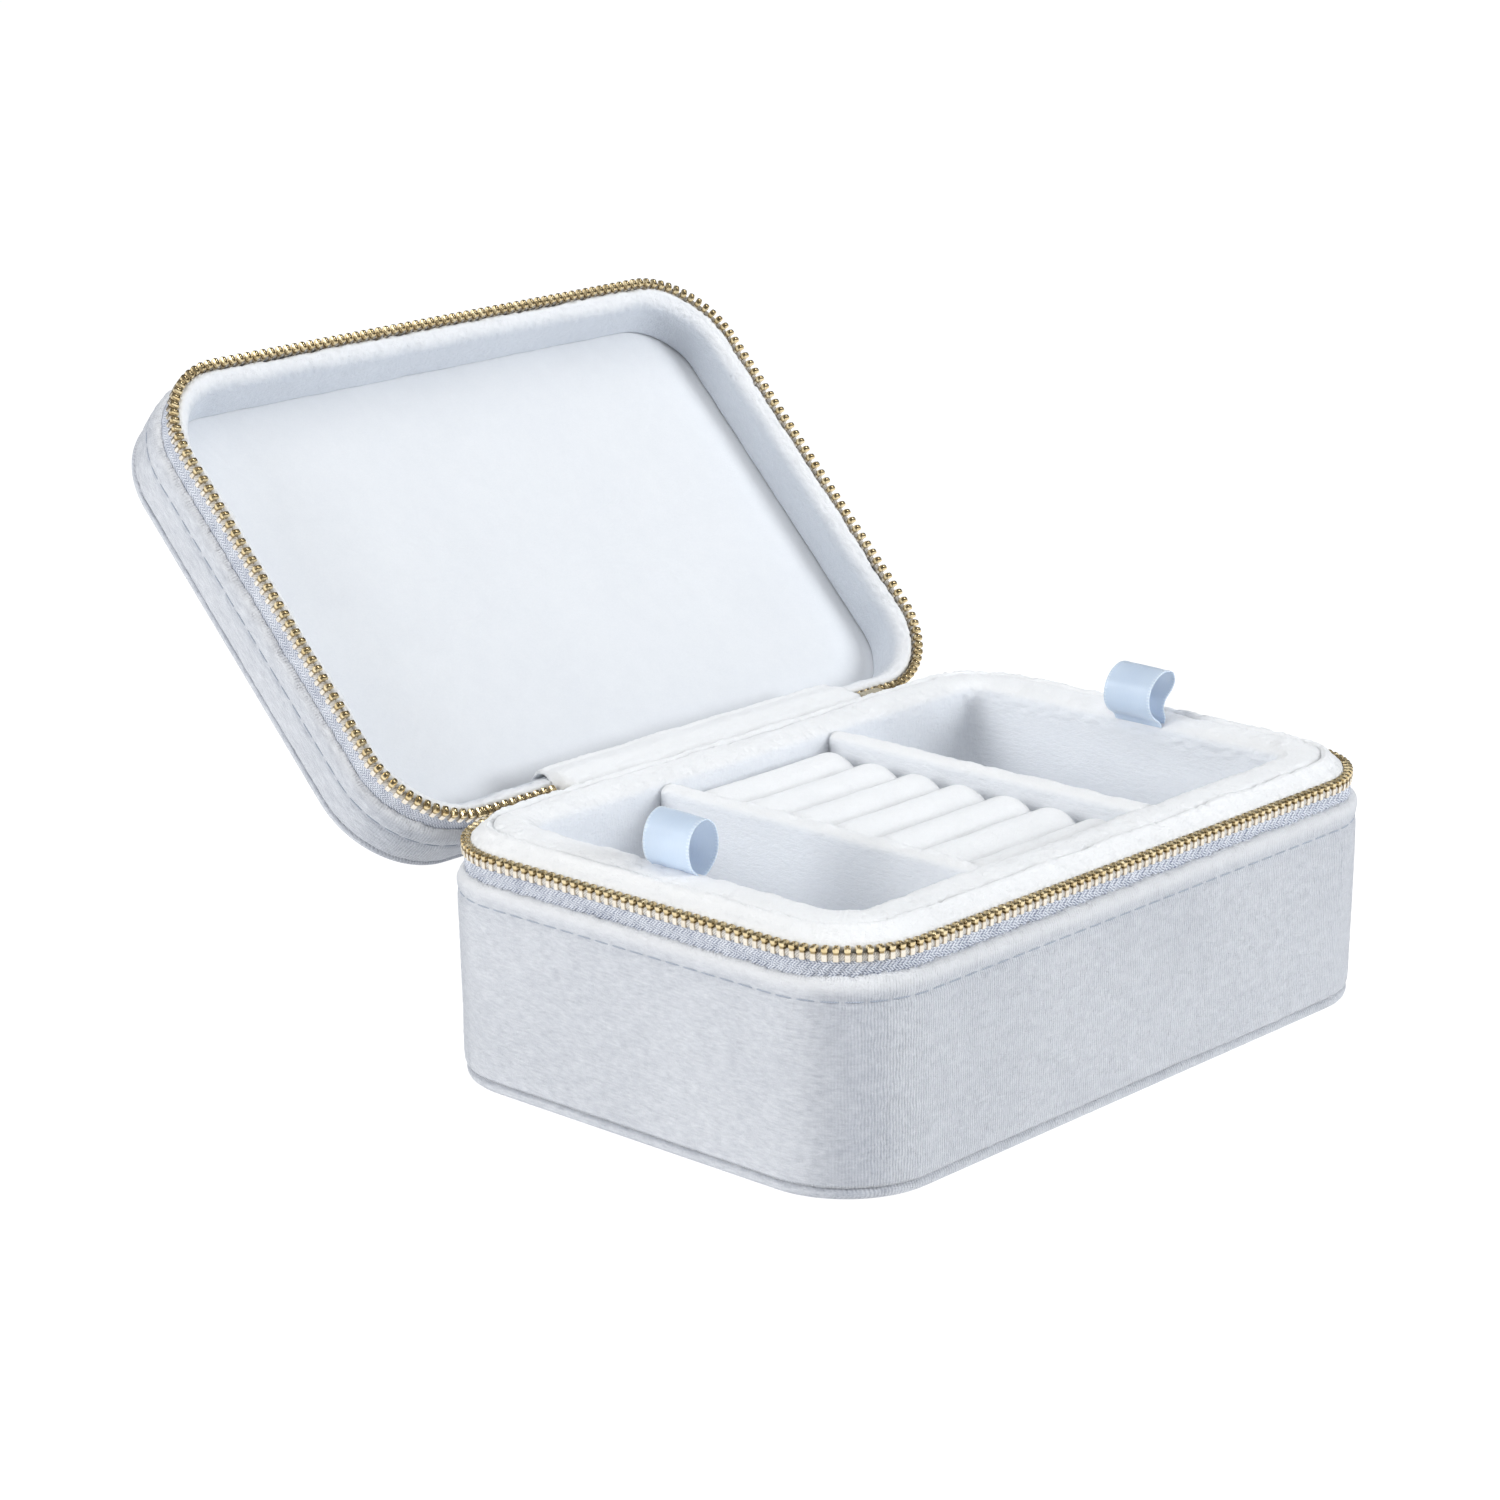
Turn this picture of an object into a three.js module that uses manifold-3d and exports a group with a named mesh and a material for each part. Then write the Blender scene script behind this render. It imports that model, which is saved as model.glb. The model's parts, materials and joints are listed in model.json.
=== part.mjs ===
// A velvet zip-around jewellery case, standing open: a base with a lift-out tray, and a hinged lid.
// Millimetres. X runs along the long front side, Y from front to back, Z up.
// The origin is on the surface the case stands on, under the middle of the base.
import Module from "manifold-3d";
import * as THREE from "three";
import { mergeVertices } from "three/addons/utils/BufferGeometryUtils.js";

const manifold = await Module();
manifold.setup();

// ---- Driving dimensions ----------------------------------------------------------------------

const LENGTH = 170;          // base, outside, along X
const DEPTH = 116.2;         // base, outside, along Y
const CORNER = 21;           // outside corner radius in plan
const FOLD = 43;             // height of the base cover's folded top edge
const ZIP_PLANE = 50.25;     // where the two rows of teeth meet when the case is shut
const TOOTH_GAP = 0.45;      // from the zip plane to the tips of each row
const TOOTH_HEIGHT = 2.9;
const TAPE_SHOWING = 4.1;    // zip tape between the teeth and the folded edge
const LIP_TOP = 52.2;        // the padded lining rim stands proud of the teeth
const TRAY_BOTTOM = 27;      // underside of the lift-out tray
const TRAY_TOP = 52;
const LID_TOP = 70.8;        // outside height of the shut case
const LID_MOUTH_LENGTH = 166.4;
const LID_MOUTH_FRONT = -59.0;
const LID_MOUTH_BACK = 57.8;
const HINGE_Y = 57.7;
const HINGE_Z = 49.4;
const OPEN_ANGLE = 133.9;    // the lid leans back this far, in degrees
const STRIP_LEFT = -42;      // the fabric hinge strip lies between the two ends of the zip
const STRIP_RIGHT = 46;
const GAP = 0.3;             // clearance between pieces that touch
const DIVIDER_LEFT = -29.5;  // middle of each divider along X
const DIVIDER_RIGHT = 22;
const DIVIDER_THICK = 4.5;
const ROLLS = 7;             // ring rolls in the middle compartment
const RIBBON_WIDTH = 12.2;

// Distances in from the outside of the case, measured square to its wall.
const COVER = 1.4;           // velvet side cover
const TAPE = [1.7, 2.2];
const TEETH = [0.8, 2.8];    // the row of teeth, as one rail
const BOARD = [1.7, 2.8];    // stiff board in the wall
const LINING = [4.0, 7.2];   // padded lining wall
const LEDGE = [7.5, 10.5];   // the ring that carries the tray
const TRAY_WALL = [7.6, 16.5];

// ---- Materials -------------------------------------------------------------------------------

function cloth(color, roughness = 0.9) {
  return new THREE.MeshStandardMaterial({ color, roughness, metalness: 0 });
}

const VELVET = cloth(0xd3dae6);
const LINING_VELVET = cloth(0xe6eaf0);
const TAPE_CLOTH = cloth(0x98a6c6, 0.8);
const SATIN = cloth(0x8fb0e4, 0.35);
const CARD = cloth(0xb9b2a4, 0.95);
const GOLD = new THREE.MeshStandardMaterial({ color: 0xc79a4b, roughness: 0.28, metalness: 1 });

// ---- Plan outlines ---------------------------------------------------------------------------

const ARC_STEPS = 6;

// A rounded rectangle. from and to, when given, leave the back side open between them:
// the outline then starts at X = from on the back, goes round the front and ends at X = to.
function outline({ halfLength, front, back, radius }, from = null, to = null) {
  const r = Math.max(radius, 0.5);
  const points = [];
  const corners = [
    [halfLength - r, back - r, 90],
    [halfLength - r, front + r, 0],
    [-halfLength + r, front + r, -90],
    [-halfLength + r, back - r, -180],
  ];
  if (from !== null) {
    points.push([from, back]);
  }
  for (const [cx, cy, start] of corners) {
    for (let i = 0; i <= ARC_STEPS; i += 1) {
      const angle = THREE.MathUtils.degToRad(start - (90 * i) / ARC_STEPS);
      points.push([cx + r * Math.cos(angle), cy + r * Math.sin(angle)]);
    }
  }
  if (to !== null) {
    points.push([to, back]);
  }
  return points;
}

// The base's plan at a distance in from the outside.
function basePlan(inset) {
  return {
    halfLength: LENGTH / 2 - inset,
    front: -DEPTH / 2 + inset,
    back: DEPTH / 2 - inset,
    radius: CORNER - inset,
  };
}

// The shut lid's plan: its mouth is drawn in a little, and it widens to the base's size at the top.
function lidPlan(inset, z) {
  const t = THREE.MathUtils.clamp((z - ZIP_PLANE) / (LID_TOP - ZIP_PLANE), 0, 1);
  return {
    halfLength: THREE.MathUtils.lerp(LID_MOUTH_LENGTH / 2, LENGTH / 2 - 0.8, t) - inset,
    front: THREE.MathUtils.lerp(LID_MOUTH_FRONT, -DEPTH / 2 + 0.6, t) + inset,
    back: THREE.MathUtils.lerp(LID_MOUTH_BACK, DEPTH / 2 - 0.3, t) - inset,
    radius: CORNER - inset,
  };
}

// ---- Solids ----------------------------------------------------------------------------------

function solid(positions, triangles) {
  const geometry = new THREE.BufferGeometry();
  geometry.setAttribute("position", new THREE.Float32BufferAttribute(positions.flat(), 3));
  let volume = 0;
  for (const [a, b, c] of triangles) {
    const [p, q, r] = [positions[a], positions[b], positions[c]].map((v) => new THREE.Vector3(...v));
    volume += p.dot(q.cross(r));
  }
  const outward = volume > 0 ? triangles : triangles.map(([a, b, c]) => [a, c, b]);
  geometry.setIndex(outward.flat());
  geometry.computeVertexNormals();
  return geometry;
}

// A wall that follows the plan: section is a closed polygon of [inset, height] points.
// With a range, the wall leaves the back open between the ends of the zip.
function wall(section, plan, range = null) {
  const [from, to] = range ?? [null, null];
  const rows = section.map(([inset, z]) => outline(plan(inset, z), from, to).map(([x, y]) => [x, y, z]));
  const stations = rows[0].length;
  const count = rows.length;
  const positions = rows.flat();
  const at = (row, station) => (row % count) * stations + (station % stations);
  const triangles = [];
  const spans = range ? stations - 1 : stations;
  for (let row = 0; row < count; row += 1) {
    for (let station = 0; station < spans; station += 1) {
      const [a, b] = [at(row, station), at(row, station + 1)];
      const [c, d] = [at(row + 1, station + 1), at(row + 1, station)];
      triangles.push([a, b, c], [a, c, d]);
    }
  }
  if (range) {
    const flat = section.map(([inset, z]) => new THREE.Vector2(inset, z));
    const clockwise = THREE.ShapeUtils.isClockWise(flat);
    const caps = THREE.ShapeUtils.triangulateShape(clockwise ? [...flat].reverse() : flat, []);
    const corner = (i) => (clockwise ? count - 1 - i : i);
    const sign = Math.sign(THREE.ShapeUtils.area(flat));
    for (const [a, b, c] of caps) {
      const [i, j, k] = [corner(a), corner(b), corner(c)];
      const first = [at(i, 0), at(j, 0), at(k, 0)];
      const last = [at(i, stations - 1), at(k, stations - 1), at(j, stations - 1)];
      triangles.push(sign === (clockwise ? -1 : 1) ? first : first.reverse());
      triangles.push(sign === (clockwise ? -1 : 1) ? last : last.reverse());
    }
  }
  return solid(positions, triangles);
}

function rectangle([outer, inner], low, high) {
  return [[outer, low], [inner, low], [inner, high], [outer, high]];
}

// A plate that fills the plan: side is its edge from bottom to top, as [inset, height] points.
function plate(side, plan) {
  const rows = side.map(([inset, z]) => outline(plan(inset, z)).map(([x, y]) => [x, y, z]));
  const stations = rows[0].length;
  const positions = rows.flat();
  const triangles = [];
  for (let row = 0; row + 1 < rows.length; row += 1) {
    for (let station = 0; station < stations; station += 1) {
      const next = (station + 1) % stations;
      const [a, b] = [row * stations + station, row * stations + next];
      const [c, d] = [b + stations, a + stations];
      triangles.push([a, b, c], [a, c, d]);
    }
  }
  const top = (rows.length - 1) * stations;
  for (let station = 1; station + 1 < stations; station += 1) {
    triangles.push([0, station + 1, station], [top, top + station, top + station + 1]);
  }
  return solid(positions, triangles);
}

// A bar along X or Y: its section is a closed polygon of [across, height] points.
function bar(section, along, start, end) {
  const shape = new THREE.Shape(section.map(([across, z]) => new THREE.Vector2(across, z)));
  const geometry = new THREE.ExtrudeGeometry(shape, { depth: end - start, bevelEnabled: false });
  geometry.translate(0, 0, start);
  // The shape's x, y and depth become Y, Z and X, or (mirrored so that it keeps its handedness) X, Z, Y.
  const toX = new THREE.Matrix4().set(0, 0, 1, 0, 1, 0, 0, 0, 0, 1, 0, 0, 0, 0, 0, 1);
  const toY = new THREE.Matrix4().set(1, 0, 0, 0, 0, 0, -1, start + end, 0, 1, 0, 0, 0, 0, 0, 1);
  return geometry.applyMatrix4(along === "x" ? toX : toY);
}

function box([x0, y0, z0], [x1, y1, z1]) {
  const geometry = new THREE.BoxGeometry(x1 - x0, y1 - y0, z1 - z0);
  return geometry.translate((x0 + x1) / 2, (y0 + y1) / 2, (z0 + z1) / 2);
}

function toManifold(geometry) {
  const bare = geometry.clone();
  bare.deleteAttribute("normal");
  bare.deleteAttribute("uv");
  const merged = mergeVertices(bare, 1e-4);
  return new manifold.Manifold(new manifold.Mesh({
    numProp: 3,
    vertProperties: new Float32Array(merged.attributes.position.array),
    triVerts: new Uint32Array(merged.index.array),
  }));
}

function fromManifold(body) {
  const mesh = body.getMesh();
  const geometry = new THREE.BufferGeometry();
  geometry.setAttribute("position", new THREE.BufferAttribute(mesh.vertProperties, 3));
  geometry.setIndex(new THREE.BufferAttribute(mesh.triVerts, 1));
  geometry.computeVertexNormals();
  return geometry;
}

function joined(geometries) {
  return fromManifold(manifold.Manifold.union(geometries.map(toManifold)));
}

function named(name, geometry, material) {
  const mesh = new THREE.Mesh(geometry, material);
  mesh.name = name;
  return mesh;
}

// ---- Base ------------------------------------------------------------------------------------

const SEAM = 2.6;            // height of the seam between the side cover and the bottom cover
const TEETH_TOP = ZIP_PLANE - TOOTH_GAP;
const TEETH_BOTTOM = TEETH_TOP - TOOTH_HEIGHT;
const TAPE_HIDDEN = 4;       // zip tape sewn in behind the folded edge

function base() {
  const group = new THREE.Group();
  const coverSection = [
    [0.9, SEAM + 0.2], [0.4, 10], [0, 34], [0, 40.5], [0.5, FOLD - 0.5], [COVER - 0.3, FOLD],
    [COVER, FOLD - 0.6], [COVER, SEAM + 0.2],
  ];
  const liningSection = [
    [LINING[0], 6], [LINING[0], 49.2], [4.9, 50.4], [5.4, 51.8], [6.2, LIP_TOP], [6.9, 51.7],
    [LINING[1], 50.6], [LINING[1], 6],
  ];
  const zipEnds = [STRIP_RIGHT + 0.4, STRIP_LEFT - 0.4];
  const tapeSection = rectangle(TAPE, FOLD - TAPE_HIDDEN, TEETH_BOTTOM - GAP);
  const teethSection = rectangle(TEETH, TEETH_BOTTOM, TEETH_TOP);
  const boardTop = FOLD - TAPE_HIDDEN - 0.4;
  const stripBack = DEPTH / 2 - 0.2;
  group.add(
    named("base_cover", wall(coverSection, basePlan), VELVET),
    named("base_wall_board", wall(rectangle(BOARD, SEAM + 0.2, boardTop), basePlan), CARD),
    named("bottom_cover", plate([[2.6, 0], [1.2, 0.5], [0.9, 1.4], [1.2, 2.5]], basePlan), VELVET),
    named("bottom_board", plate([[3.7, 2.8], [3.7, 4.6]], basePlan), CARD),
    named("base_floor_lining", plate([[3.7, 4.9], [3.7, 5.7]], basePlan), LINING_VELVET),
    named("base_lining", wall(liningSection, basePlan), LINING_VELVET),
    named("tray_ledge", wall(rectangle(LEDGE, 6, TRAY_BOTTOM - GAP), basePlan), LINING_VELVET),
    named("zip_tape_base", wall(tapeSection, basePlan, zipEnds), TAPE_CLOTH),
    named("zip_teeth_base", wall(teethSection, basePlan, zipEnds), GOLD),
    named("hinge_strip_base", box([STRIP_LEFT, 54.9, FOLD + GAP], [STRIP_RIGHT, stripBack, TEETH_TOP]), VELVET),
  );
  return group;
}

// ---- Tray ------------------------------------------------------------------------------------

const TRAY_FLOOR = 29.6;
const DIVIDER_TOP = 51;
const COMPARTMENT_HALF = DEPTH / 2 - TRAY_WALL[1];
const ROLL_RADIUS = 5.6;
const ROLL_TOP = 48.9;
const ROLL_FOOT = 37;

function tray() {
  const group = new THREE.Group();
  const wallSection = [
    [TRAY_WALL[0], TRAY_BOTTOM], [TRAY_WALL[0], 50.4], [8.6, 51.7], [10.5, TRAY_TOP], [14, TRAY_TOP],
    [15.7, 51.3], [TRAY_WALL[1], 49.8], [TRAY_WALL[1], TRAY_BOTTOM],
  ];
  const inside = TRAY_WALL[1] + GAP;
  group.add(
    named("tray_frame", wall(wallSection, basePlan), LINING_VELVET),
    named("tray_board", plate([[inside, TRAY_BOTTOM + 0.1], [inside, TRAY_BOTTOM + 1.3]], basePlan), CARD),
    named("tray_floor", plate([[inside, TRAY_BOTTOM + 1.6], [inside, TRAY_FLOOR]], basePlan), LINING_VELVET),
  );
  const end = COMPARTMENT_HALF - GAP;
  for (const [name, x] of [["divider_left", DIVIDER_LEFT], ["divider_right", DIVIDER_RIGHT]]) {
    const half = DIVIDER_THICK / 2;
    const shoulder = DIVIDER_TOP - 1.6;
    const section = [
      [x - half, TRAY_FLOOR + GAP], [x + half, TRAY_FLOOR + GAP], [x + half, shoulder],
      [x + half * 0.6, DIVIDER_TOP - 0.4], [x, DIVIDER_TOP], [x - half * 0.6, DIVIDER_TOP - 0.4],
      [x - half, shoulder],
    ];
    group.add(named(name, bar(section, "y", -end, end), LINING_VELVET));
  }
  const left = DIVIDER_LEFT + DIVIDER_THICK / 2 + GAP;
  const right = DIVIDER_RIGHT - DIVIDER_THICK / 2 - GAP;
  const pitch = (2 * end) / ROLLS;
  group.add(named("ring_base", box([left, -end, TRAY_FLOOR + GAP], [right, end, ROLL_FOOT - GAP]), LINING_VELVET));
  for (let i = 0; i < ROLLS; i += 1) {
    const y = -end + pitch * (i + 0.5);
    const middle = ROLL_TOP - ROLL_RADIUS;
    const section = [[y - ROLL_RADIUS + 0.8, ROLL_FOOT], [y + ROLL_RADIUS - 0.8, ROLL_FOOT]];
    for (let step = 0; step <= 8; step += 1) {
      const angle = (Math.PI * step) / 8;
      section.push([y + ROLL_RADIUS * Math.cos(angle), middle + ROLL_RADIUS * Math.sin(angle)]);
    }
    group.add(named(`ring_roll_${i + 1}`, bar(section, "x", left, right), LINING_VELVET));
  }
  group.add(
    named("pull_ribbon_left", ribbonLoop(LOOP_LEFT, -7.1), SATIN),
    named("pull_ribbon_right", ribbonLoop(LOOP_RIGHT, -9.2), SATIN),
  );
  return group;
}

// Each lifting ribbon is a closed loop on the tray's rim, seen here along Y as [x, z] points.
const RIBBON_THICK = 0.7;
const LOOP_LEFT = [[-70.2, 52.7], [-73.3, 55.2], [-73.7, 59.2], [-70.2, 62.6], [-66.7, 59.2], [-67.1, 55.2]];
const LOOP_RIGHT = [[68.3, 52.8], [64.3, 55.4], [63.2, 59.6], [66.4, 62.8], [70.3, 61.4], [70.4, 56.6]];

function ribbonLoop(points, y) {
  const curve = new THREE.CatmullRomCurve3(points.map(([x, z]) => new THREE.Vector3(x, z, 0)), true);
  const steps = 14;
  const outer = [];
  const inner = [];
  for (let i = 0; i < steps; i += 1) {
    const at = curve.getPointAt(i / steps);
    const along = curve.getTangentAt(i / steps);
    const side = new THREE.Vector2(along.y, -along.x).multiplyScalar(RIBBON_THICK / 2);
    outer.push([at.x - side.x, at.y - side.y]);
    inner.push([at.x + side.x, at.y + side.y]);
  }
  const spread = (ring) => Math.abs(THREE.ShapeUtils.area(ring.map(([x, z]) => new THREE.Vector2(x, z))));
  const [large, small] = spread(outer) > spread(inner) ? [outer, inner] : [inner, outer];
  const positions = [];
  for (const depth of [y, y + RIBBON_WIDTH]) {
    for (const ring of [large, small]) {
      positions.push(...ring.map(([x, z]) => [x, depth, z]));
    }
  }
  const triangles = [];
  const rings = [[0, 1], [1, 3], [3, 2], [2, 0]];
  for (const [first, second] of rings) {
    for (let i = 0; i < steps; i += 1) {
      const next = (i + 1) % steps;
      const [a, b] = [first * steps + i, first * steps + next];
      const [c, d] = [second * steps + next, second * steps + i];
      triangles.push([a, b, c], [a, c, d]);
    }
  }
  return solid(positions, triangles);
}

// ---- Lid, made shut and then turned back about the hinge ---------------------------------------

function lid() {
  const group = new THREE.Group();
  const tips = ZIP_PLANE + TOOTH_GAP;
  const teethTop = tips + TOOTH_HEIGHT;
  const fold = teethTop + TAPE_SHOWING + 0.2;
  const seam = LID_TOP - 2.5;
  const padFace = 63.7;      // the inner pad lies this high above the surface when shut
  const coverSection = [
    [COVER - 0.3, fold], [0.5, fold + 0.5], [0, fold + 2.5], [0, seam - 1], [0.3, seam - 0.2],
    [COVER, seam - 0.2], [COVER, fold + 0.6],
  ];
  const rimSection = [
    [3.5, 53.2], [4.1, 52.4], [5.0, 52.4], [6.0, 53.2], [6.8, 55], [6.8, padFace - GAP], [3.5, padFace - GAP],
  ];
  const topSide = [[1.2, seam + 0.1], [0.2, seam + 0.9], [0.6, LID_TOP - 0.5], [2.4, LID_TOP]];
  const zipEnds = [STRIP_RIGHT + 0.4, STRIP_LEFT - 0.4];
  const tapeSection = rectangle(TAPE, teethTop + GAP, fold + TAPE_HIDDEN);
  const boardSection = rectangle(BOARD, fold + TAPE_HIDDEN + 0.4, seam - 0.2);
  const pieces = [
    named("lid_cover", wall(coverSection, lidPlan), VELVET),
    named("lid_wall_board", wall(boardSection, lidPlan), CARD),
    named("lid_top_cover", plate(topSide, lidPlan), VELVET),
    named("lid_top_board", plate([[3.7, seam - 2], [3.7, seam - 0.2]], lidPlan), CARD),
    named("lid_inner_pad", plate([[3.7, padFace], [3.7, seam - 2.3]], lidPlan), LINING_VELVET),
    named("lid_lining", wall(rimSection, lidPlan), LINING_VELVET),
    named("zip_tape_lid", wall(tapeSection, lidPlan, zipEnds), TAPE_CLOTH),
    named("zip_teeth_lid", wall(rectangle(TEETH, tips, teethTop), lidPlan, zipEnds), GOLD),
    named("hinge_strip_lid", box([STRIP_LEFT, 54.6, tips], [STRIP_RIGHT, 57.5, fold - GAP]), VELVET),
  ];
  const open = new THREE.Matrix4().makeTranslation(0, HINGE_Y, HINGE_Z);
  open.multiply(new THREE.Matrix4().makeRotationX(-THREE.MathUtils.degToRad(OPEN_ANGLE)));
  open.multiply(new THREE.Matrix4().makeTranslation(0, -HINGE_Y, -HINGE_Z));
  for (const piece of pieces) {
    piece.geometry.applyMatrix4(open);
    group.add(piece);
  }
  return group;
}

// ---- Zip slider, parked at the right-hand end of the zip at the back ---------------------------

const SLIDER_LENGTH = 9;
const SLIDER_X = STRIP_RIGHT + 0.6;
const SLIDER_MIDDLE = SLIDER_X + SLIDER_LENGTH / 2;
const PIVOT_Y = 59.8;        // the puller's pin
const PIVOT_Z = 45.1;
const PIN_RADIUS = 0.6;
const LUG_HALF_SPAN = 3.1;   // from the middle of the slider to each lug
const LUG_THICK = 0.9;

// A round bar along X.
function pin(radius, halfLength) {
  const geometry = new THREE.CylinderGeometry(radius, radius, 2 * halfLength, 12);
  return geometry.rotateZ(Math.PI / 2).translate(SLIDER_MIDDLE, PIVOT_Y, PIVOT_Z);
}

// The slider straddles the base's row of teeth: a shield-shaped plate on each side, a bridge over the
// tips, and two lugs that hold the puller's pin.
function slider() {
  const [start, end] = [SLIDER_X, SLIDER_X + SLIDER_LENGTH];
  const shield = [
    [start, 44.9], [start + 1.4, 44.2], [end - 1.6, 43.8], [end - 0.5, 44.1], [end, 44.9],
    [end, 49.4], [end - 0.6, 50.3], [end - 1.2, 50.5], [start + 0.9, 50.5], [start, 49.8],
  ];
  const bridge = box([start + 0.9, 54.4, 50.1], [end - 1.2, 58.5, 50.5]);
  const pieces = [bar(shield, "y", 54.4, 54.95), bar(shield, "y", 57.7, 58.5), bridge];
  for (const side of [-1, 1]) {
    const x = SLIDER_MIDDLE + side * LUG_HALF_SPAN;
    pieces.push(box([x - LUG_THICK / 2, 58.3, PIVOT_Z - 1.2], [x + LUG_THICK / 2, PIVOT_Y + 1.2, PIVOT_Z + 1.2]));
  }
  const bore = toManifold(pin(PIN_RADIUS + GAP, LUG_HALF_SPAN + LUG_THICK));
  return named("zip_slider", fromManifold(toManifold(joined(pieces)).subtract(bore)), GOLD);
}

// The puller is a flat tongue that hangs from its pin, against the back of the case.
function puller() {
  const halfWidth = 2.2;
  const tipRadius = 2.9;
  const tipCentre = -18;
  const thick = 1;
  const shape = new THREE.Shape();
  shape.moveTo(-halfWidth, 0);
  shape.lineTo(-tipRadius, tipCentre);
  shape.absarc(0, tipCentre, tipRadius, Math.PI, 2 * Math.PI, false);
  shape.lineTo(halfWidth, 0);
  const eye = new THREE.Path();
  eye.absarc(0, tipCentre, 1.3, 0, 2 * Math.PI, true);
  shape.holes.push(eye);
  const tongue = new THREE.ExtrudeGeometry(shape, { depth: thick, bevelEnabled: false, curveSegments: 8 });
  tongue.rotateX(Math.PI / 2);
  tongue.translate(SLIDER_MIDDLE, PIVOT_Y + thick / 2, PIVOT_Z);
  const barrel = pin(PIN_RADIUS + 0.4, halfWidth);
  const body = joined([tongue, barrel, pin(PIN_RADIUS, LUG_HALF_SPAN + LUG_THICK / 2)]);
  return named("zip_puller", body, GOLD);
}

const jewelryBox = new THREE.Group();
jewelryBox.add(base(), tray(), lid(), slider(), puller());

export default jewelryBox;
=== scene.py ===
"""Looks for a velvet zip-around jewellery case that stands open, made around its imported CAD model.

Shapes are worked out in millimetres, in the frame's own axes, and become metres as each mesh is
made. The lid is shaped shut, above the base, and then turned back about its hinge.
"""

import json
import math

import bpy
import numpy as np
from mathutils import Matrix, Vector


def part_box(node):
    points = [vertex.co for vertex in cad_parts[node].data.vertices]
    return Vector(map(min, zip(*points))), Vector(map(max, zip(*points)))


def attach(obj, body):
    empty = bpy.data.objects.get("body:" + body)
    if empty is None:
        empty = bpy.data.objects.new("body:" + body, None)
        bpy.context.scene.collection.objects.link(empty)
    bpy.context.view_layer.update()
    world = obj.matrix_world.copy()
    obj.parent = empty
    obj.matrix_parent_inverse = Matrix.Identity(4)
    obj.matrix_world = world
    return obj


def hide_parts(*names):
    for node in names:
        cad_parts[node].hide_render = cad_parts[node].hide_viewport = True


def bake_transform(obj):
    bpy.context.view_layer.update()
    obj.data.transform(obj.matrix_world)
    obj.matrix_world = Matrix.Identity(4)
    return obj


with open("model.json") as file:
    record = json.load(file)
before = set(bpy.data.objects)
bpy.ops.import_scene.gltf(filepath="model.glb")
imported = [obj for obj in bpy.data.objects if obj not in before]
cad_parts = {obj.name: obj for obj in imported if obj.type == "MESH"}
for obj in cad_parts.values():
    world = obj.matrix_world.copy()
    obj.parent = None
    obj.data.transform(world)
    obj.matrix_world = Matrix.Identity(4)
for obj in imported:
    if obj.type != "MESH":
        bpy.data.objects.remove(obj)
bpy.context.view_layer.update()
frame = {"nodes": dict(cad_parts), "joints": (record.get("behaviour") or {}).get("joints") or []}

MM = 0.001


def span(node):
    """A CAD node's lowest and highest corner, in millimetres."""
    low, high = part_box(node)
    return [v / MM for v in low], [v / MM for v in high]


# ---- Sizes ----

COVER_LOW, COVER_HIGH = span("base_cover")
HALF_LENGTH, BACK = COVER_HIGH[0], COVER_HIGH[1]
FRONT, FOLD = COVER_LOW[1], COVER_HIGH[2] + 0.3    # the pile stands above the fold
SEAM = COVER_LOW[2]
CORNER = 21.0
TAPE_LOW = span("zip_tape_base")[0][2]
TEETH_LOW, TEETH_HIGH = (corner[2] for corner in span("zip_teeth_base"))
TOOTH_HEIGHT = TEETH_HIGH - TEETH_LOW
TOOTH_PITCH = 2.23
TEETH_INSET = 1.8           # of the middle of the teeth and the cord, from the case's outside
TAPE_INSETS = (1.7, 2.2)    # of the tape's two faces
STITCH_PITCH, THREAD_RADIUS = 4.6, 0.16
STITCH_LINE = 4.2           # the topstitching lies this far below the folded edge
# The velvet's turn over its folded edge, as (inset, distance from the fold).
FOLD_TURN = [(0.0, STITCH_LINE), (0.0, 3.2), (0.12, 2.0), (0.45, 1.0), (1.0, 0.25), (1.6, 0),
             (1.9, 0.6), (1.55, 2)]
FRONT_CREASE = 66.0         # how far to the right the velvet's crease lies on the front
DENT_DEPTH, DENT_REACH = 1.5, 10.0    # of the slider's dent in the lip, and how far it runs on
ROLL_PRESS = 0.27           # how much further than in CAD a roll's sides reach
ROLL_SPARE = 0.9            # how much a free roll's radius passes half its pressed width
RIBBON_THICKNESS = 0.28
STRIP_LEFT, STRIP_RIGHT = (corner[0] for corner in span("hinge_strip_base"))
ZIP_ENDS = (STRIP_RIGHT + 0.4, STRIP_LEFT - 0.4)
LIP_TOP = span("base_lining")[1][2]

HINGE = next(j for j in frame["joints"] if j["name"] == "lid_hinge")
HINGE_Y, HINGE_Z = (v / MM for v in HINGE["pos_m"][1:])
OPEN_ANGLE = math.radians(HINGE["range_deg"][1])

# The lid, shut: the zip plane, the heights above it, and the plan of its mouth.
ZIP_PLANE = TEETH_HIGH + 0.45
LID_TEETH_LOW = ZIP_PLANE + 0.45
LID_TEETH_HIGH = LID_TEETH_LOW + TOOTH_HEIGHT
LID_FOLD = LID_TEETH_HIGH + 3.9
LID_TOP = 70.8
LID_SEAM = LID_TOP - 2.5
PAD_FACE, PAD_BACK = 63.7, LID_SEAM - 2.3
MOUTH = (83.2, -59.0, 57.8)    # half length, front and back


def base_plan(inset, z=0):
    """The base's half length, front, back and corner radius, inset from its outside."""
    return HALF_LENGTH - inset, FRONT + inset, BACK - inset, CORNER - inset


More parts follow.
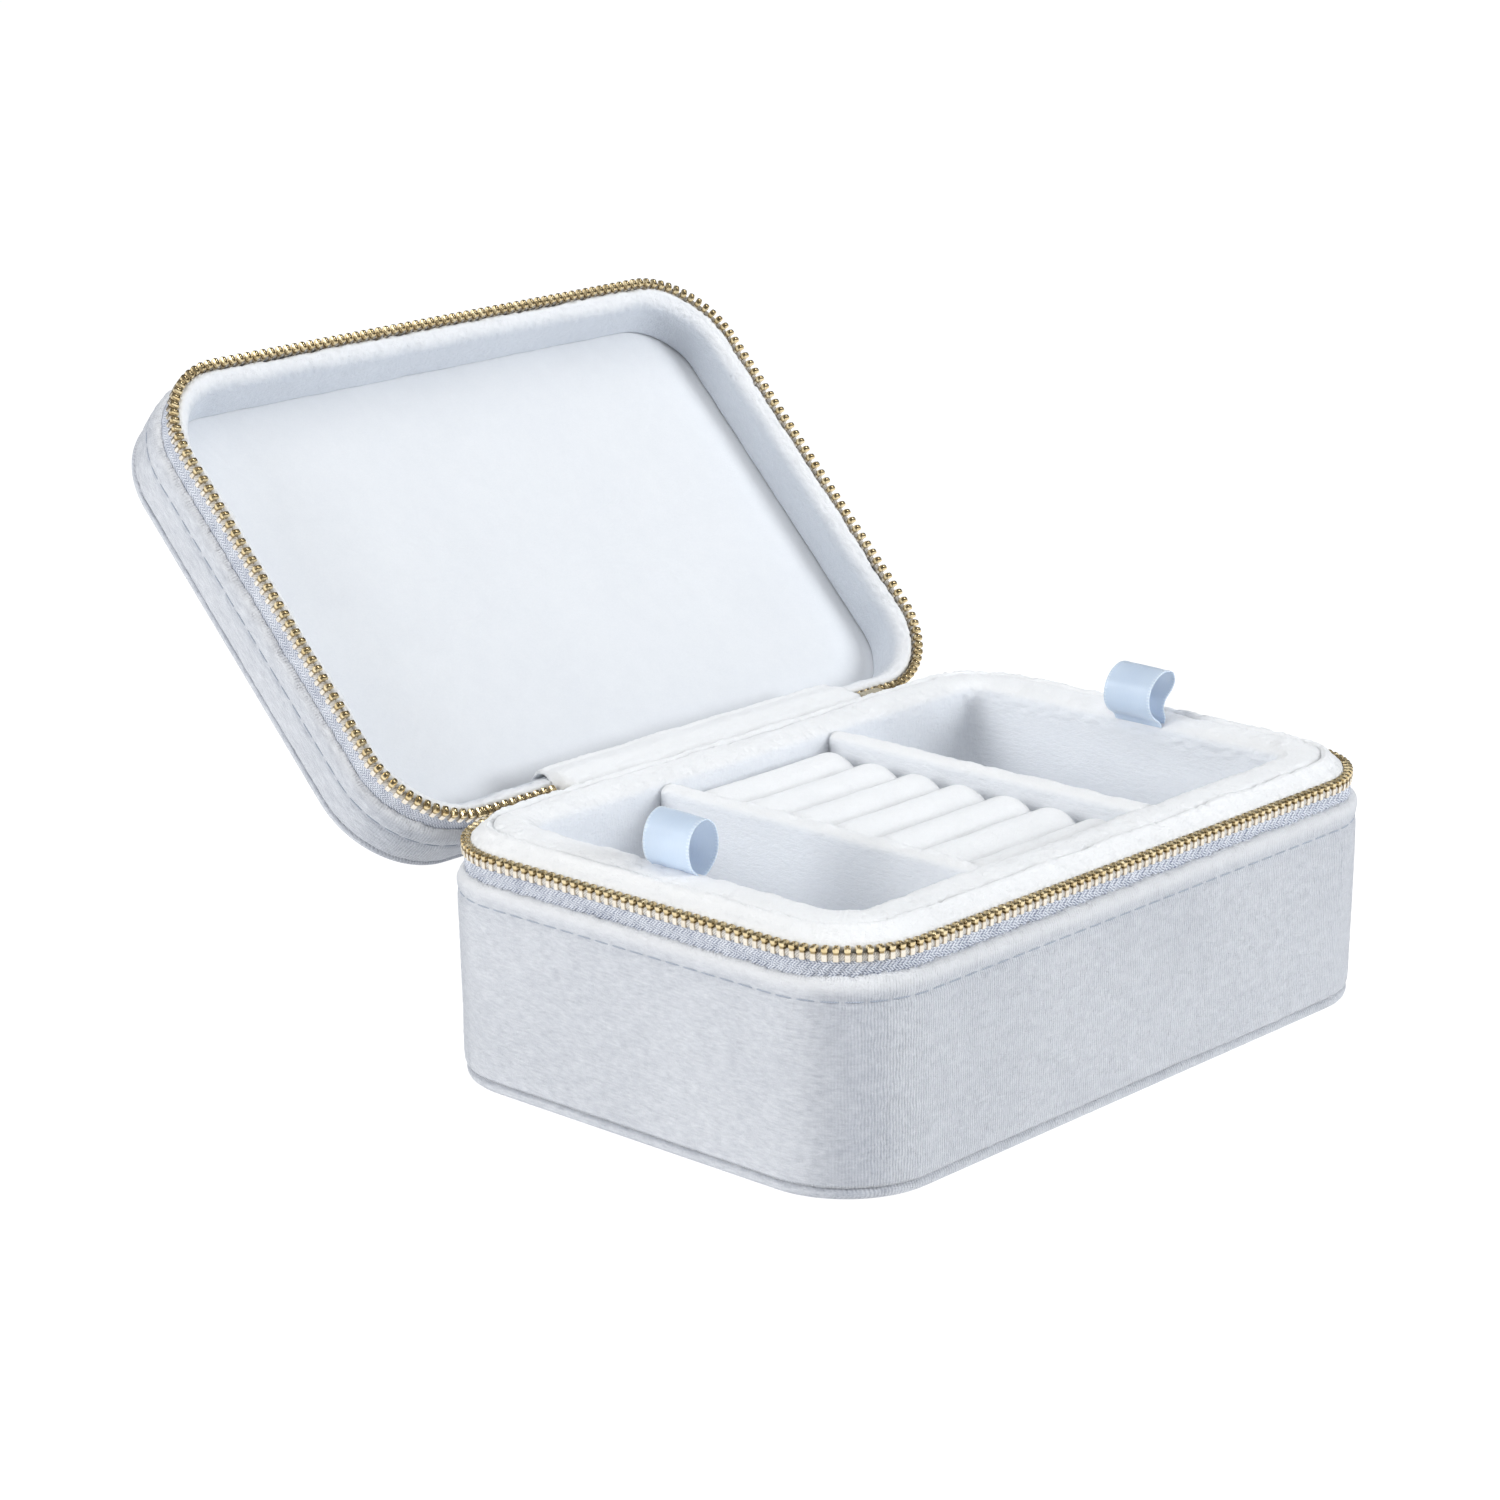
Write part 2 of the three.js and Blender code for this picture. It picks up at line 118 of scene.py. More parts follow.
def lid_plan(inset, z):
    """The same for the shut lid, whose mouth is drawn in a little."""
    share = min(max((z - ZIP_PLANE) / (LID_TOP - ZIP_PLANE), 0), 1)
    half = MOUTH[0] + (HALF_LENGTH - 0.8 - MOUTH[0]) * share
    front = MOUTH[1] + (FRONT + 0.6 - MOUTH[1]) * share
    back = MOUTH[2] + (BACK - 0.3 - MOUTH[2]) * share
    return half - inset, front + inset, back - inset, CORNER - inset


def opened(points):
    """Points of the shut lid, turned back about the hinge."""
    c, s = math.cos(OPEN_ANGLE), math.sin(OPEN_ANGLE)
    y, z = points[..., 1] - HINGE_Y, points[..., 2] - HINGE_Z
    return np.stack([points[..., 0], HINGE_Y + y * c + z * s, HINGE_Z - y * s + z * c], -1)


PLANS = {"base": base_plan, "tray": base_plan, "lid": lid_plan}

# One tooth's levels, from the legs that clamp the cord, past the neck, to the wider head: each is
# (height, half width along the row, half thickness).
TOOTH_LEVELS = [(-0.4, 0.5, 0.8), (-0.3, 0.62, 0.92), (0.9, 0.58, 1.0), (1.2, 0.46, 0.95),
                (1.4, 0.56, 0.95), (1.6, 0.68, 1.0), (2.1, 0.68, 1.0), (2.4, 0.46, 0.75)]
TOOTH_SIDES, SQUARENESS, CUP_DEPTH = 12, 4.5, 0.35


# ---- Shader nodes ----


class Shader:
    """A material under construction."""

    def __init__(self, name, on_cloth=True, **finish):
        """on_cloth is False for a CAD node, which is textured by its own coordinates."""
        self.material = bpy.data.materials.new(name)
        self.material.use_nodes = True
        self.tree = self.material.node_tree
        self.surface = self.tree.nodes["Principled BSDF"]
        for key, value in finish.items():
            self.surface.inputs[key.replace("_", " ")].default_value = value
        if on_cloth:
            source = self.add("ShaderNodeAttribute", attribute_name="weave")
            self.weave = source.outputs["Vector"]
        else:
            metres = self.add("ShaderNodeTexCoord").outputs["Object"]
            scaled = self.add("ShaderNodeMapping", {"Vector": metres, "Scale": (1 / MM,) * 3})
            self.weave = scaled.outputs[0]

    def feed(self, socket, value):
        """Links another node's output to a socket, or sets the socket to a plain value."""
        if isinstance(value, bpy.types.NodeSocket):
            self.tree.links.new(value, socket)
        else:
            socket.default_value = value

    def add(self, kind, inputs=None, **settings):
        node = self.tree.nodes.new(kind)
        for key, value in settings.items():
            setattr(node, key, value)
        for key, value in (inputs or {}).items():
            self.feed(node.inputs[key], value)
        return node

    def place(self):
        """Millimetres along, across and up the cloth."""
        return self.add("ShaderNodeSeparateXYZ", {0: self.weave}).outputs

    def noise(self, size, stretch=(1, 1, 1), detail=2.0, roughness=0.5):
        """Noise on the cloth, about size millimetres across, drawn out along an axis by stretch."""
        scale = tuple(1 / (size * s) for s in stretch)
        place = self.add("ShaderNodeMapping", {"Vector": self.weave, "Scale": scale}).outputs[0]
        options = {"Vector": place, "Scale": 1.0, "Detail": detail, "Roughness": roughness}
        return self.add("ShaderNodeTexNoise", options).outputs["Fac"]

    def math(self, operation, a, b=0.5):
        return self.add("ShaderNodeMath", {0: a, 1: b}, operation=operation).outputs[0]

    def times(self, a, b):
        return self.math("MULTIPLY", a, b)

    def plus(self, a, b):
        return self.math("ADD", a, b)

    def stripes(self, place, pitch):
        """Waves from -1 to 1, one every pitch millimetres."""
        return self.math("SINE", self.times(place, 2 * math.pi / pitch))

    def spread(self, value, low, high, to_low=0.0, to_high=1.0):
        """value, moved from the range low to high to another range and held inside it."""
        options = {"Value": value, "From Min": low, "From Max": high,
                   "To Min": to_low, "To Max": to_high}
        return self.add("ShaderNodeMapRange", options).outputs[0]

    def mix(self, share, a, b):
        """The colour a where share is 0, and b where it is 1."""
        node = self.add("ShaderNodeMix", {0: share}, data_type="RGBA")
        for number, colour in ((6, a), (7, b)):
            self.feed(node.inputs[number], (*colour, 1) if isinstance(colour, tuple) else colour)
        return node.outputs[2]

    def give(self, name, socket):
        """Feeds one of the surface's own inputs."""
        self.tree.links.new(socket, self.surface.inputs[name])

    def bump(self, height, depth, under=None):
        """Bump of depth millimetres; under is an earlier bump that this one is added to."""
        inputs = {"Height": height, "Distance": depth * MM, "Strength": 1.0}
        if under is not None:
            inputs["Normal"] = under
        normal = self.add("ShaderNodeBump", inputs).outputs[0]
        self.give("Normal", normal)
        return normal


def velvet(name, light, shade, pile=0.12, streaks=0.5, sheen=0.5, brushing=0.2, ribs=0.0,
           corner_shade=0.0, clumps=2.6, edge=None):
    """Short-pile velvet: brushed patches, fine rows of pile, and a soft sheen at grazing angles.

    pile is the bump's depth, streaks the strength of the rows, ribs that of the ground weave's
    upright lines, corner_shade how much painted shade darkens a bend, and clumps the size of the
    tufts. edge is the colour of the painted highlight where the mesh's "edge" attribute is 1: the
    top of a padded edge, painted paler where light from above falls on it. The rows run upright on
    the long walls and level on the short ones, as cloth wrapped round the case does.
    """
    s = Shader(name, Roughness=0.95, Sheen_Weight=sheen, Sheen_Roughness=0.45,
               Sheen_Tint=(0.93, 0.96, 1.0, 1), Specular_IOR_Level=0.15)
    normal = s.add("ShaderNodeNewGeometry").outputs["Normal"]
    sideways = s.math("ABSOLUTE", s.add("ShaderNodeSeparateXYZ", {0: normal}).outputs[0])
    upright = s.noise(0.4, stretch=(1, 1, 4), detail=3, roughness=0.65)
    if ribs:
        wobble = s.times(s.noise(4, detail=1), 0.7)
        lines = s.stripes(s.plus(s.place()[0], wobble), GROUND_PITCH)
        upright = s.plus(upright, s.times(lines, ribs))
    level = s.spread(s.noise(0.5, stretch=(4, 4, 1), detail=2), 0, 1, 0.25, 0.75)
    inputs = {0: s.spread(sideways, 0.45, 0.9), 2: upright, 3: level}
    rows = s.add("ShaderNodeMix", inputs, data_type="FLOAT").outputs[0]
    crumples = s.noise(clumps, stretch=(1.6, 1.6, 0.7), detail=3, roughness=0.6)
    crumples = s.spread(crumples, 0.3, 0.7)
    pile_tips = s.noise(0.3, detail=3, roughness=0.7)
    # Painted shade: where the cloth bends round a corner its colour is darkened, standing in for the
    # shade that velvet shows there.
    other_way = s.math("SQRT", s.math("SUBTRACT", 1.0, s.math("POWER", sideways, 2.0)))
    shaded_bend = s.times(sideways, other_way)
    tone = s.times(s.spread(s.noise(30, detail=2), 0.35, 0.68), brushing)
    for part, share in ((s.spread(shaded_bend, 0.3, 0.5), corner_shade), (crumples, 0.2),
                        (s.spread(rows, 0.36, 0.64), 0.4 * streaks),
                        (s.spread(pile_tips, 0.3, 0.7), 0.2)):
        tone = s.plus(tone, s.times(part, share))
    colour = s.mix(tone, light, shade)
    # Painted highlight: towards the top of a padded edge the colour is painted paler, as where light
    # from above falls on it.
    if edge:
        highlight_share = s.add("ShaderNodeAttribute", attribute_name="edge").outputs["Fac"]
        painted_highlight = s.mix(tone, edge, tuple(0.92 * v for v in edge))
        colour = s.mix(highlight_share, colour, painted_highlight)
    s.give("Base Color", colour)
    under = s.bump(rows, pile * streaks)
    under = s.bump(crumples, 0.6 * pile, under)
    s.bump(pile_tips, pile, under)
    return s.material


def twill_tape():
    """Woven zip tape: herringbone ribs, with a lighter thread between them."""
    s = Shader("twill_tape", Roughness=0.75, Sheen_Weight=0.15, Sheen_Roughness=0.4)
    along, _, up = s.place()
    zigzag = s.math("PINGPONG", up, 0.9)
    ribs = s.stripes(s.plus(along, s.times(zigzag, 1.1)), TWILL_PITCH)
    threads = s.stripes(up, TAPE_THREAD)
    weave = s.plus(s.plus(s.times(ribs, 0.34), s.times(threads, 0.2)), 0.5)
    uneven = s.times(s.spread(s.noise(3, detail=3), 0.3, 0.7), 0.3)
    tone = s.plus(s.times(weave, 0.9), uneven)
    s.give("Base Color", s.mix(tone, (0.12, 0.15, 0.25), (0.80, 0.83, 0.89)))
    s.bump(weave, 0.14)
    return s.material


def satin():
    """Satin ribbon: glossy long floats over fine threads, lit through, with a ridged selvedge."""
    s = Shader("satin", Roughness=0.3, Sheen_Weight=0.25, Sheen_Roughness=0.3,
               Specular_IOR_Level=0.7, Subsurface_Weight=0.85,
               Subsurface_Radius=(1.0, 1.0, 1.0), Subsurface_Scale=1.4 * MM)
    along, across, _ = s.place()
    floats = s.noise(0.35, stretch=(6, 0.5, 1), detail=2)
    from_middle = s.math("ABSOLUTE", s.math("SUBTRACT", across, RIBBON_WIDTH / 2))
    on_selvedge = s.spread(from_middle, RIBBON_WIDTH / 2 - 0.75, RIBBON_WIDTH / 2 - 0.55)
    ridges = s.times(on_selvedge, s.spread(s.stripes(along, SELVEDGE_PITCH), -1, 1))
    tone = s.plus(s.times(floats, 0.35), s.times(ridges, 0.5))
    s.give("Base Color", s.mix(tone, (0.49, 0.62, 0.85), (0.68, 0.785, 0.945)))
    s.bump(s.plus(floats, ridges), 0.05)
    return s.material


def twisted(name, across, pitch, roughness, dark, light, depth):
    """Yarn with a twist that slants over it; across is the number of the axis that crosses it."""
    s = Shader(name, Roughness=roughness, Sheen_Weight=0.2)
    place = s.place()
    twist = s.stripes(s.plus(place[0], place[across]), pitch)
    s.give("Base Color", s.mix(s.spread(twist, -1, 1), dark, light))
    s.bump(twist, depth)
    return s.material


def tooth_gold():
    """Pale gold plating on the teeth, at the heights in TOOTH_LEVELS, with a little wear. The legs
    are painted paler, a painted reflection of the white floor, and painted shade darkens their sides
    and the necks; a painted dark reflection fills the cups of the heads."""
    s = Shader("tooth_gold", Metallic=1.0)
    worn = s.spread(s.noise(1.6, detail=3), 0.3, 0.7)
    along, _, height = s.place()
    tooth = s.math("FRACT", s.math("DIVIDE", along, TOOTH_PITCH))
    aside = s.times(s.math("ABSOLUTE", s.math("SUBTRACT", tooth, 0.5)), TOOTH_PITCH)
    # Painted reflection and painted shade: the legs are painted paler, as if reflecting the white
    # floor, and darker along their sides.
    legs_painted_light = s.mix(worn, (0.78, 0.71, 0.60), (0.90, 0.86, 0.78))
    legs_painted_light = s.mix(s.spread(aside, 0.4, 0.6), legs_painted_light, (0.56, 0.46, 0.33))
    heads = s.mix(worn, (0.72, 0.56, 0.30), (0.92, 0.79, 0.52))
    plating_and_painted_light = s.mix(s.spread(height, 1.15, 1.4), legs_painted_light, heads)
    # Painted shade round each neck, and a painted dark reflection in the cup of each head, in the
    # dark colour below.
    painted_neck_shade = s.times(s.spread(height, 0.9, 1.15), s.spread(height, 1.6, 1.35))
    painted_cup_reflection = s.times(s.spread(height, 2.1, 2.35), s.spread(aside, 0.42, 0.28))
    s.give("Base Color", s.mix(s.math("MAXIMUM", painted_neck_shade, painted_cup_reflection), plating_and_painted_light, (0.36, 0.27, 0.14)))
    s.give("Roughness", s.spread(worn, 0, 1, 0.14, 0.30))
    s.bump(s.noise(0.25, detail=1), 0.01)
    return s.material


def gold():
    """Polished pale gold plating with a little wear."""
    s = Shader("gold", Metallic=1.0, on_cloth=False)
    worn = s.spread(s.noise(3.0, detail=4), 0.3, 0.7)
    s.give("Base Color", s.mix(worn, (0.66, 0.52, 0.30), (0.86, 0.74, 0.50)))
    s.give("Roughness", s.spread(worn, 0, 1, 0.16, 0.34))
    s.bump(s.noise(0.4, stretch=(1, 1, 5), detail=2), 0.01)
    return s.material


def card():
    """Grey board, with the fibres showing."""
    s = Shader("card", on_cloth=False, Roughness=0.95)
    fibres = s.noise(0.6, stretch=(4, 1, 1), detail=4)
    s.give("Base Color", s.mix(fibres, (0.40, 0.36, 0.30), (0.66, 0.61, 0.53)))
    s.bump(fibres, 0.1)
    return s.material


GROUND_PITCH = 0.62     # of the lines in the velvet's ground weave
TWILL_PITCH, TAPE_THREAD = 0.74, 0.45
SELVEDGE_PITCH = 0.7
RIBBON_WIDTH = span("pull_ribbon_left")[1][1] - span("pull_ribbon_left")[0][1]

# Each edge colour below is a painted highlight along the top of a padded edge.
OUTER = velvet("outer_velvet", (0.83, 0.853, 0.90), (0.365, 0.39, 0.455), pile=0.3, streaks=1.0,
               sheen=1.0, brushing=0.1, ribs=0.16, corner_shade=0.25, edge=(0.86, 0.875, 0.91))
LINING = velvet("lining_velvet", (0.785, 0.805, 0.835), (0.70, 0.725, 0.765), pile=0.08)
FLUFFY = velvet("rim_velvet", (0.885, 0.908, 0.943), (0.775, 0.808, 0.865), pile=0.2, streaks=0.6,
                sheen=0.7, clumps=1.1, edge=(0.935, 0.945, 0.96))
# Painted shade: the rim velvet again, made darker for the lid's inner wall, which faces away from
# the light; its edge colour is a painted highlight.
LID_WALL_SHADED = velvet("lid_wall_shaded_velvet", (0.64, 0.68, 0.74), (0.53, 0.57, 0.64), pile=0.2, streaks=0.6,
                  sheen=0.7, clumps=1.1, edge=(0.90, 0.915, 0.94))
THREAD = twisted("thread", 1, 0.5, 0.7, (0.33, 0.38, 0.47), (0.52, 0.57, 0.66), 0.04)
CORD = twisted("bead_cord", 2, 0.55, 0.85, (0.50, 0.47, 0.43), (0.76, 0.73, 0.68), 0.05)
TAPE, SATIN, TOOTH_GOLD, GOLD, CARD = twill_tape(), satin(), tooth_gold(), gold(), card()


# ---- Plan outlines ----

CORNER_ANGLES = (90, 0, -90, -180)   # where each corner's arc starts, from the back right


class Route:
    """Places round the case, clockwise from the back right: a closed ring, or open between two
    places on the back. Each is on corner a's arc, or a share of the way from it to corner b's."""

    def __init__(self, step, ends=None):
        self.closed = ends is None
        half, front, back, radius = base_plan(0)
        long_side, short_side = 2 * (half - radius), back - front - 2 * radius
        arc = round(radius * math.pi / 2 / step)
        rows = []
        if ends:
            rows += self.along_back(ends[0], half - radius, step)
        for corner, start in enumerate(CORNER_ANGLES):
            rows += [(corner, corner, 0, start - 90 * i / arc, math.nan) for i in range(arc + 1)]
            following = (corner + 1) % 4
            count = round((short_side if corner % 2 == 0 else long_side) / step)
            if corner < 3 or self.closed:
                shares = [i / count for i in range(1, count)]
                rows += [(corner, following, share, start - 90, math.nan) for share in shares]
        if ends:
            rows += self.along_back(radius - half, ends[1], step)[1:] + [(3, 3, 0, 90, ends[1])]
        table = np.array(rows)
        self.a, self.b = table[:, 0].astype(int), table[:, 1].astype(int)
        self.share, self.angle, self.fixed = table[:, 2], np.radians(table[:, 3]), table[:, 4]
        self.out = np.stack([np.cos(self.angle), np.sin(self.angle)], -1)
        points = self.points(base_plan(0))
        steps = np.linalg.norm(np.diff(points, axis=0), axis=1)
        self.distance = np.concatenate([[0], np.cumsum(steps)])
        self.length = self.distance[-1]
        if self.closed:
            self.length += float(np.linalg.norm(points[0] - points[-1]))

    @staticmethod
    def along_back(start, end, step):
        count = max(round(abs(end - start) / step), 1)
        return [(0, 0, 0, 90, start + (end - start) * i / count) for i in range(count)]

    def points(self, plan):
        half, front, back, radius = plan
        x = np.array([half - radius, half - radius, radius - half, radius - half])
        y = np.array([back - radius, front + radius, front + radius, back - radius])
        centre_x = x[self.a] + (x[self.b] - x[self.a]) * self.share
        centre_y = y[self.a] + (y[self.b] - y[self.a]) * self.share
        is_free = np.isnan(self.fixed)
        x = np.where(is_free, centre_x + radius * self.out[:, 0], self.fixed)
        y = np.where(is_free, centre_y + radius * self.out[:, 1], back)
        return np.stack([x, y], -1)


def curve(points, count, closed=True):
    """count evenly spaced points on a smooth curve through points."""
    p = np.array(points, float)
    n = len(p)
    spans = n if closed else n - 1
    take = (lambda i: p[i % n]) if closed else (lambda i: p[min(max(i, 0), n - 1)])
    t = np.linspace(0, 1, 24, endpoint=False)[:, None]
    fine = []
    for i in range(spans):
        a, b, c, d = take(i - 1), take(i), take(i + 1), take(i + 2)
        fine.append(0.5 * (2 * b + (c - a) * t + (2 * a - 5 * b + 4 * c - d) * t ** 2
                           + (3 * b - a - 3 * c + d) * t ** 3))
    fine = np.concatenate(fine + [p[:1] if closed else p[-1:]])
    lengths = np.concatenate([[0], np.cumsum(np.linalg.norm(np.diff(fine, axis=0), axis=1))])
    wanted = np.linspace(0, lengths[-1], count, endpoint=not closed)
    return np.stack([np.interp(wanted, lengths, fine[:, k]) for k in range(p.shape[1])], -1)


def waves(points, size, seed, count=14, stretch=(1, 1, 1)):
    """Smooth noise, mostly from -1 to 1: waves about size millimetres long in random directions."""
    rng = np.random.default_rng(seed)
    scaled = points / np.array(stretch)
    total = np.zeros(points.shape[:-1])
    for _ in range(count):
        direction = rng.normal(size=3)
        direction *= 2 * math.pi / (size * rng.uniform(0.7, 1.5)) / np.linalg.norm(direction)
        total += np.sin(scaled @ direction + rng.uniform(0, 2 * math.pi))
    return total / math.sqrt(count)


def ramp(value, low, high):
    t = np.clip((value - low) / (high - low), 0, 1)
    return t * t * (3 - 2 * t)


RING, COVER_RING, FINE_RING = Route(0.9), Route(0.62), Route(0.48)
ZIP_ROUTE = Route(0.55, ZIP_ENDS)


# ---- Meshes ----


def piece(name, points, faces, material, body, slot, weave=None, stands_for=(), creases=None,
          edge_z=None, fill=None):
    """Makes one piece of the object; the lid's are shaped shut.

    weave is where each point lies on the cloth, in millimetres. creases is the angle past which an
    edge is sharp. edge_z is the two heights between which the cloth's colour turns into the
    painted highlight along its top edge.
    fill is not used.
    """
    mesh = bpy.data.meshes.new(name)
    placed = opened(points) if body == "lid" else points
    mesh.from_pydata((placed * MM).tolist(), [], [tuple(f) for f in faces])
    mesh.validate()
    on_cloth = np.asarray(points if weave is None else weave, np.float32).ravel()
    mesh.attributes.new("weave", "FLOAT_VECTOR", "POINT").data.foreach_set("vector", on_cloth)
    # The "edge" attribute marks the painted highlight: it rises from 0 at the first of the two
    # heights to 1 at the second.
    if edge_z:
        share = ramp(points[:, 2], *edge_z).astype(np.float32)
        mesh.attributes.new("edge", "FLOAT", "POINT").data.foreach_set("value", share)
    mesh.materials.append(material)
    mesh.shade_smooth()
    if creases:
        mesh.set_sharp_from_angle(angle=math.radians(creases))
    made = bpy.data.objects.new(name, mesh)
    bpy.context.scene.collection.objects.link(made)
    if body:
        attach(made, body)
    if stands_for:
        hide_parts(*stands_for)
    return made


def quads(rows, columns, wrap_rows, wrap_columns):
    """Faces of a grid of rows x columns points."""
    r = np.arange(rows if wrap_rows else rows - 1)
    c = np.arange(columns if wrap_columns else columns - 1)
    r, c = (g.ravel() for g in np.meshgrid(r, c, indexing="ij"))
    here, below = r * columns, (r + 1) % rows * columns
    beside = (c + 1) % columns
    return np.stack([here + c, here + beside, below + beside, below + c], -1).tolist()


def tube(rows, columns):
    """Faces of a grid whose rows go round a tube, with a face over each end."""
    first = [k * columns for k in range(rows)]
    last = [k * columns + columns - 1 for k in reversed(range(rows))]
    return quads(rows, columns, True, False) + [first, last]


def outward_faces(points, faces):
    """The faces, turned over if their normals point into the closed mesh."""
    triangles = np.array([(f[0], f[j], f[j + 1]) for f in faces for j in range(1, len(f) - 1)])
    a, b, c = (points[triangles[:, k]] for k in range(3))
    return faces if (a * np.cross(b, c)).sum() > 0 else [f[::-1] for f in faces]


def signed_area(section):
    """Twice a closed section's area: above 0 where its points run anticlockwise."""
    a, b = section[:, 0], section[:, 1]
    return (a * np.roll(b, -1) - np.roll(a, -1) * b).sum()


def outward_of(section):
    """Outward directions at the points of a closed section."""
    along = np.roll(section, -1, 0) - np.roll(section, 1, 0)
    out = np.stack([along[:, 1], -along[:, 0]], -1) / np.linalg.norm(along, axis=1)[:, None]
    return out if signed_area(section) >= 0 else -out


def outward_on(grid, route, section):
    """Outward directions on a closed section that has been swept along a route."""
    along = np.roll(grid, -1, 0) - np.roll(grid, 1, 0)
    away = np.concatenate([route.out, np.zeros((len(route.out), 1))], 1)[None]
    across, rise = (along * away).sum(-1), along[..., 2]
    size = np.maximum(np.hypot(across, rise), 1e-9)
    out = away * (rise / size)[..., None] + np.array([0, 0, 1]) * (-across / size)[..., None]
    return out if signed_area(section) <= 0 else -out


def ring_at(route, outline, z):
    """A route's points on one outline, at height z."""
    xy = route.points(outline)
    return np.concatenate([xy, np.full((len(xy), 1), z)], 1)


def swept(name, section, route, material, body, slot, shape=None, flat_weave=False, **how):
    """A closed section of (inset, height) points, carried round the case.

    shape moves the points outward: it gets the grid of section rows x route points, the distance
    along the route, and the section. flat_weave lays the cloth out along the route.
    """
    section = np.array(section)
    grid = np.array([ring_at(route, PLANS[body](inset, z), z) for inset, z in section])
    if shape is not None:
        out = outward_on(grid, route, section)
        grid = grid + out * shape(grid, route.distance, section)[..., None]
    m, n = grid.shape[:2]
    faces = quads(m, n, True, True) if route.closed else tube(m, n)
    points = grid.reshape(-1, 3)
    weave = points
    if flat_weave:
        along = np.broadcast_to(route.distance[None], (m, n))
        weave = np.stack([along, np.zeros((m, n)), grid[..., 2]], -1).reshape(-1, 3)
    piece(name, points, outward_faces(points, faces), material, body, slot, weave=weave, **how)


def plate(name, side, material, body, slot, rings, shape, **how):
    """A plate that fills the plan. side is its edge from bottom to top as (inset, height) points,
    and rings are the insets of the extra rings inside each face, which shape moves up or down."""
    low, high = side[0][1], side[-1][1]
    section = [(r, low) for r in reversed(rings)] + list(side) + [(r, high) for r in rings]
    rows = []
    for inset, z in section:
        half, front, back, radius = PLANS[body](inset, z)
        rows.append(ring_at(RING, (half, front, back, max(radius, 1.0)), z))
    grid = np.array(rows)
    grid[..., 2] += shape(grid, np.array(section))
    m, n = grid.shape[:2]
    faces = quads(m, n, False, True)
    points = grid.reshape(-1, 3)
    points = np.concatenate([points, [points[:n].mean(0), points[-n:].mean(0)]])
    for k in range(n):
        following = (k + 1) % n
        faces.append([m * n, following, k])
        faces.append([m * n + 1, (m - 1) * n + k, (m - 1) * n + following])
    piece(name, points, outward_faces(points, faces), material, body, slot, **how)


# ---- Filling, by cloth simulation ----

SWELL_SCALE = 25    # the solver's own settings suit pads the size of furniture
SWELL_FRAMES = 20


def swell(pads, held_below, limit):
    """Swells padded pieces as stuffed cloth. Points below held_below are sewn down, and limit is
    the most that any point moves; both are in millimetres."""
    scene = bpy.context.scene
    sims = []
    for pad in pads:
        mesh = pad.data.copy()
        rest = np.empty(3 * len(mesh.vertices), np.float32)
        mesh.vertices.foreach_get("co", rest)
        rest = rest.reshape(-1, 3)
        middle = rest.mean(0)
        mesh.vertices.foreach_set("co", ((rest - middle) * SWELL_SCALE).ravel())
        sim = bpy.data.objects.new(pad.name + "_swelling", mesh)
        scene.collection.objects.link(sim)
        held = sim.vertex_groups.new(name="held")
        held.add(np.flatnonzero(rest[:, 2] < held_below * MM).tolist(), 1.0, "REPLACE")
        cloth = sim.modifiers.new("cloth", "CLOTH")
        cloth.settings.vertex_group_mass = "held"
        cloth.settings.mass = 0.1
        cloth.settings.tension_stiffness = cloth.settings.compression_stiffness = 12
        cloth.settings.bending_stiffness = 0.4
        cloth.settings.use_pressure = True
        cloth.settings.uniform_pressure_force = 9
        cloth.settings.effector_weights.gravity = 0
        cloth.point_cache.frame_start, cloth.point_cache.frame_end = 1, SWELL_FRAMES
        sims.append((pad, sim, rest, middle))
    for number in range(1, SWELL_FRAMES + 1):
        scene.frame_set(number)
    graph = bpy.context.evaluated_depsgraph_get()
    for pad, sim, rest, middle in sims:
        swollen = np.empty(rest.size, np.float32)
        sim.evaluated_get(graph).data.vertices.foreach_get("co", swollen)
        moved = swollen.reshape(-1, 3) / SWELL_SCALE + middle - rest
        reach = np.linalg.norm(moved, axis=1)
        moved *= np.minimum(1, limit * MM / np.maximum(reach, 1e-9))[:, None]
        pad.data.vertices.foreach_set("co", (rest + moved).ravel())
        pad.data.update()
        mesh = sim.data
        bpy.data.objects.remove(sim)
        bpy.data.meshes.remove(mesh)
        pad.modifiers.new("smooth", "SUBSURF").levels = 1
    scene.frame_set(1)


# ---- Covers and their stitching ----


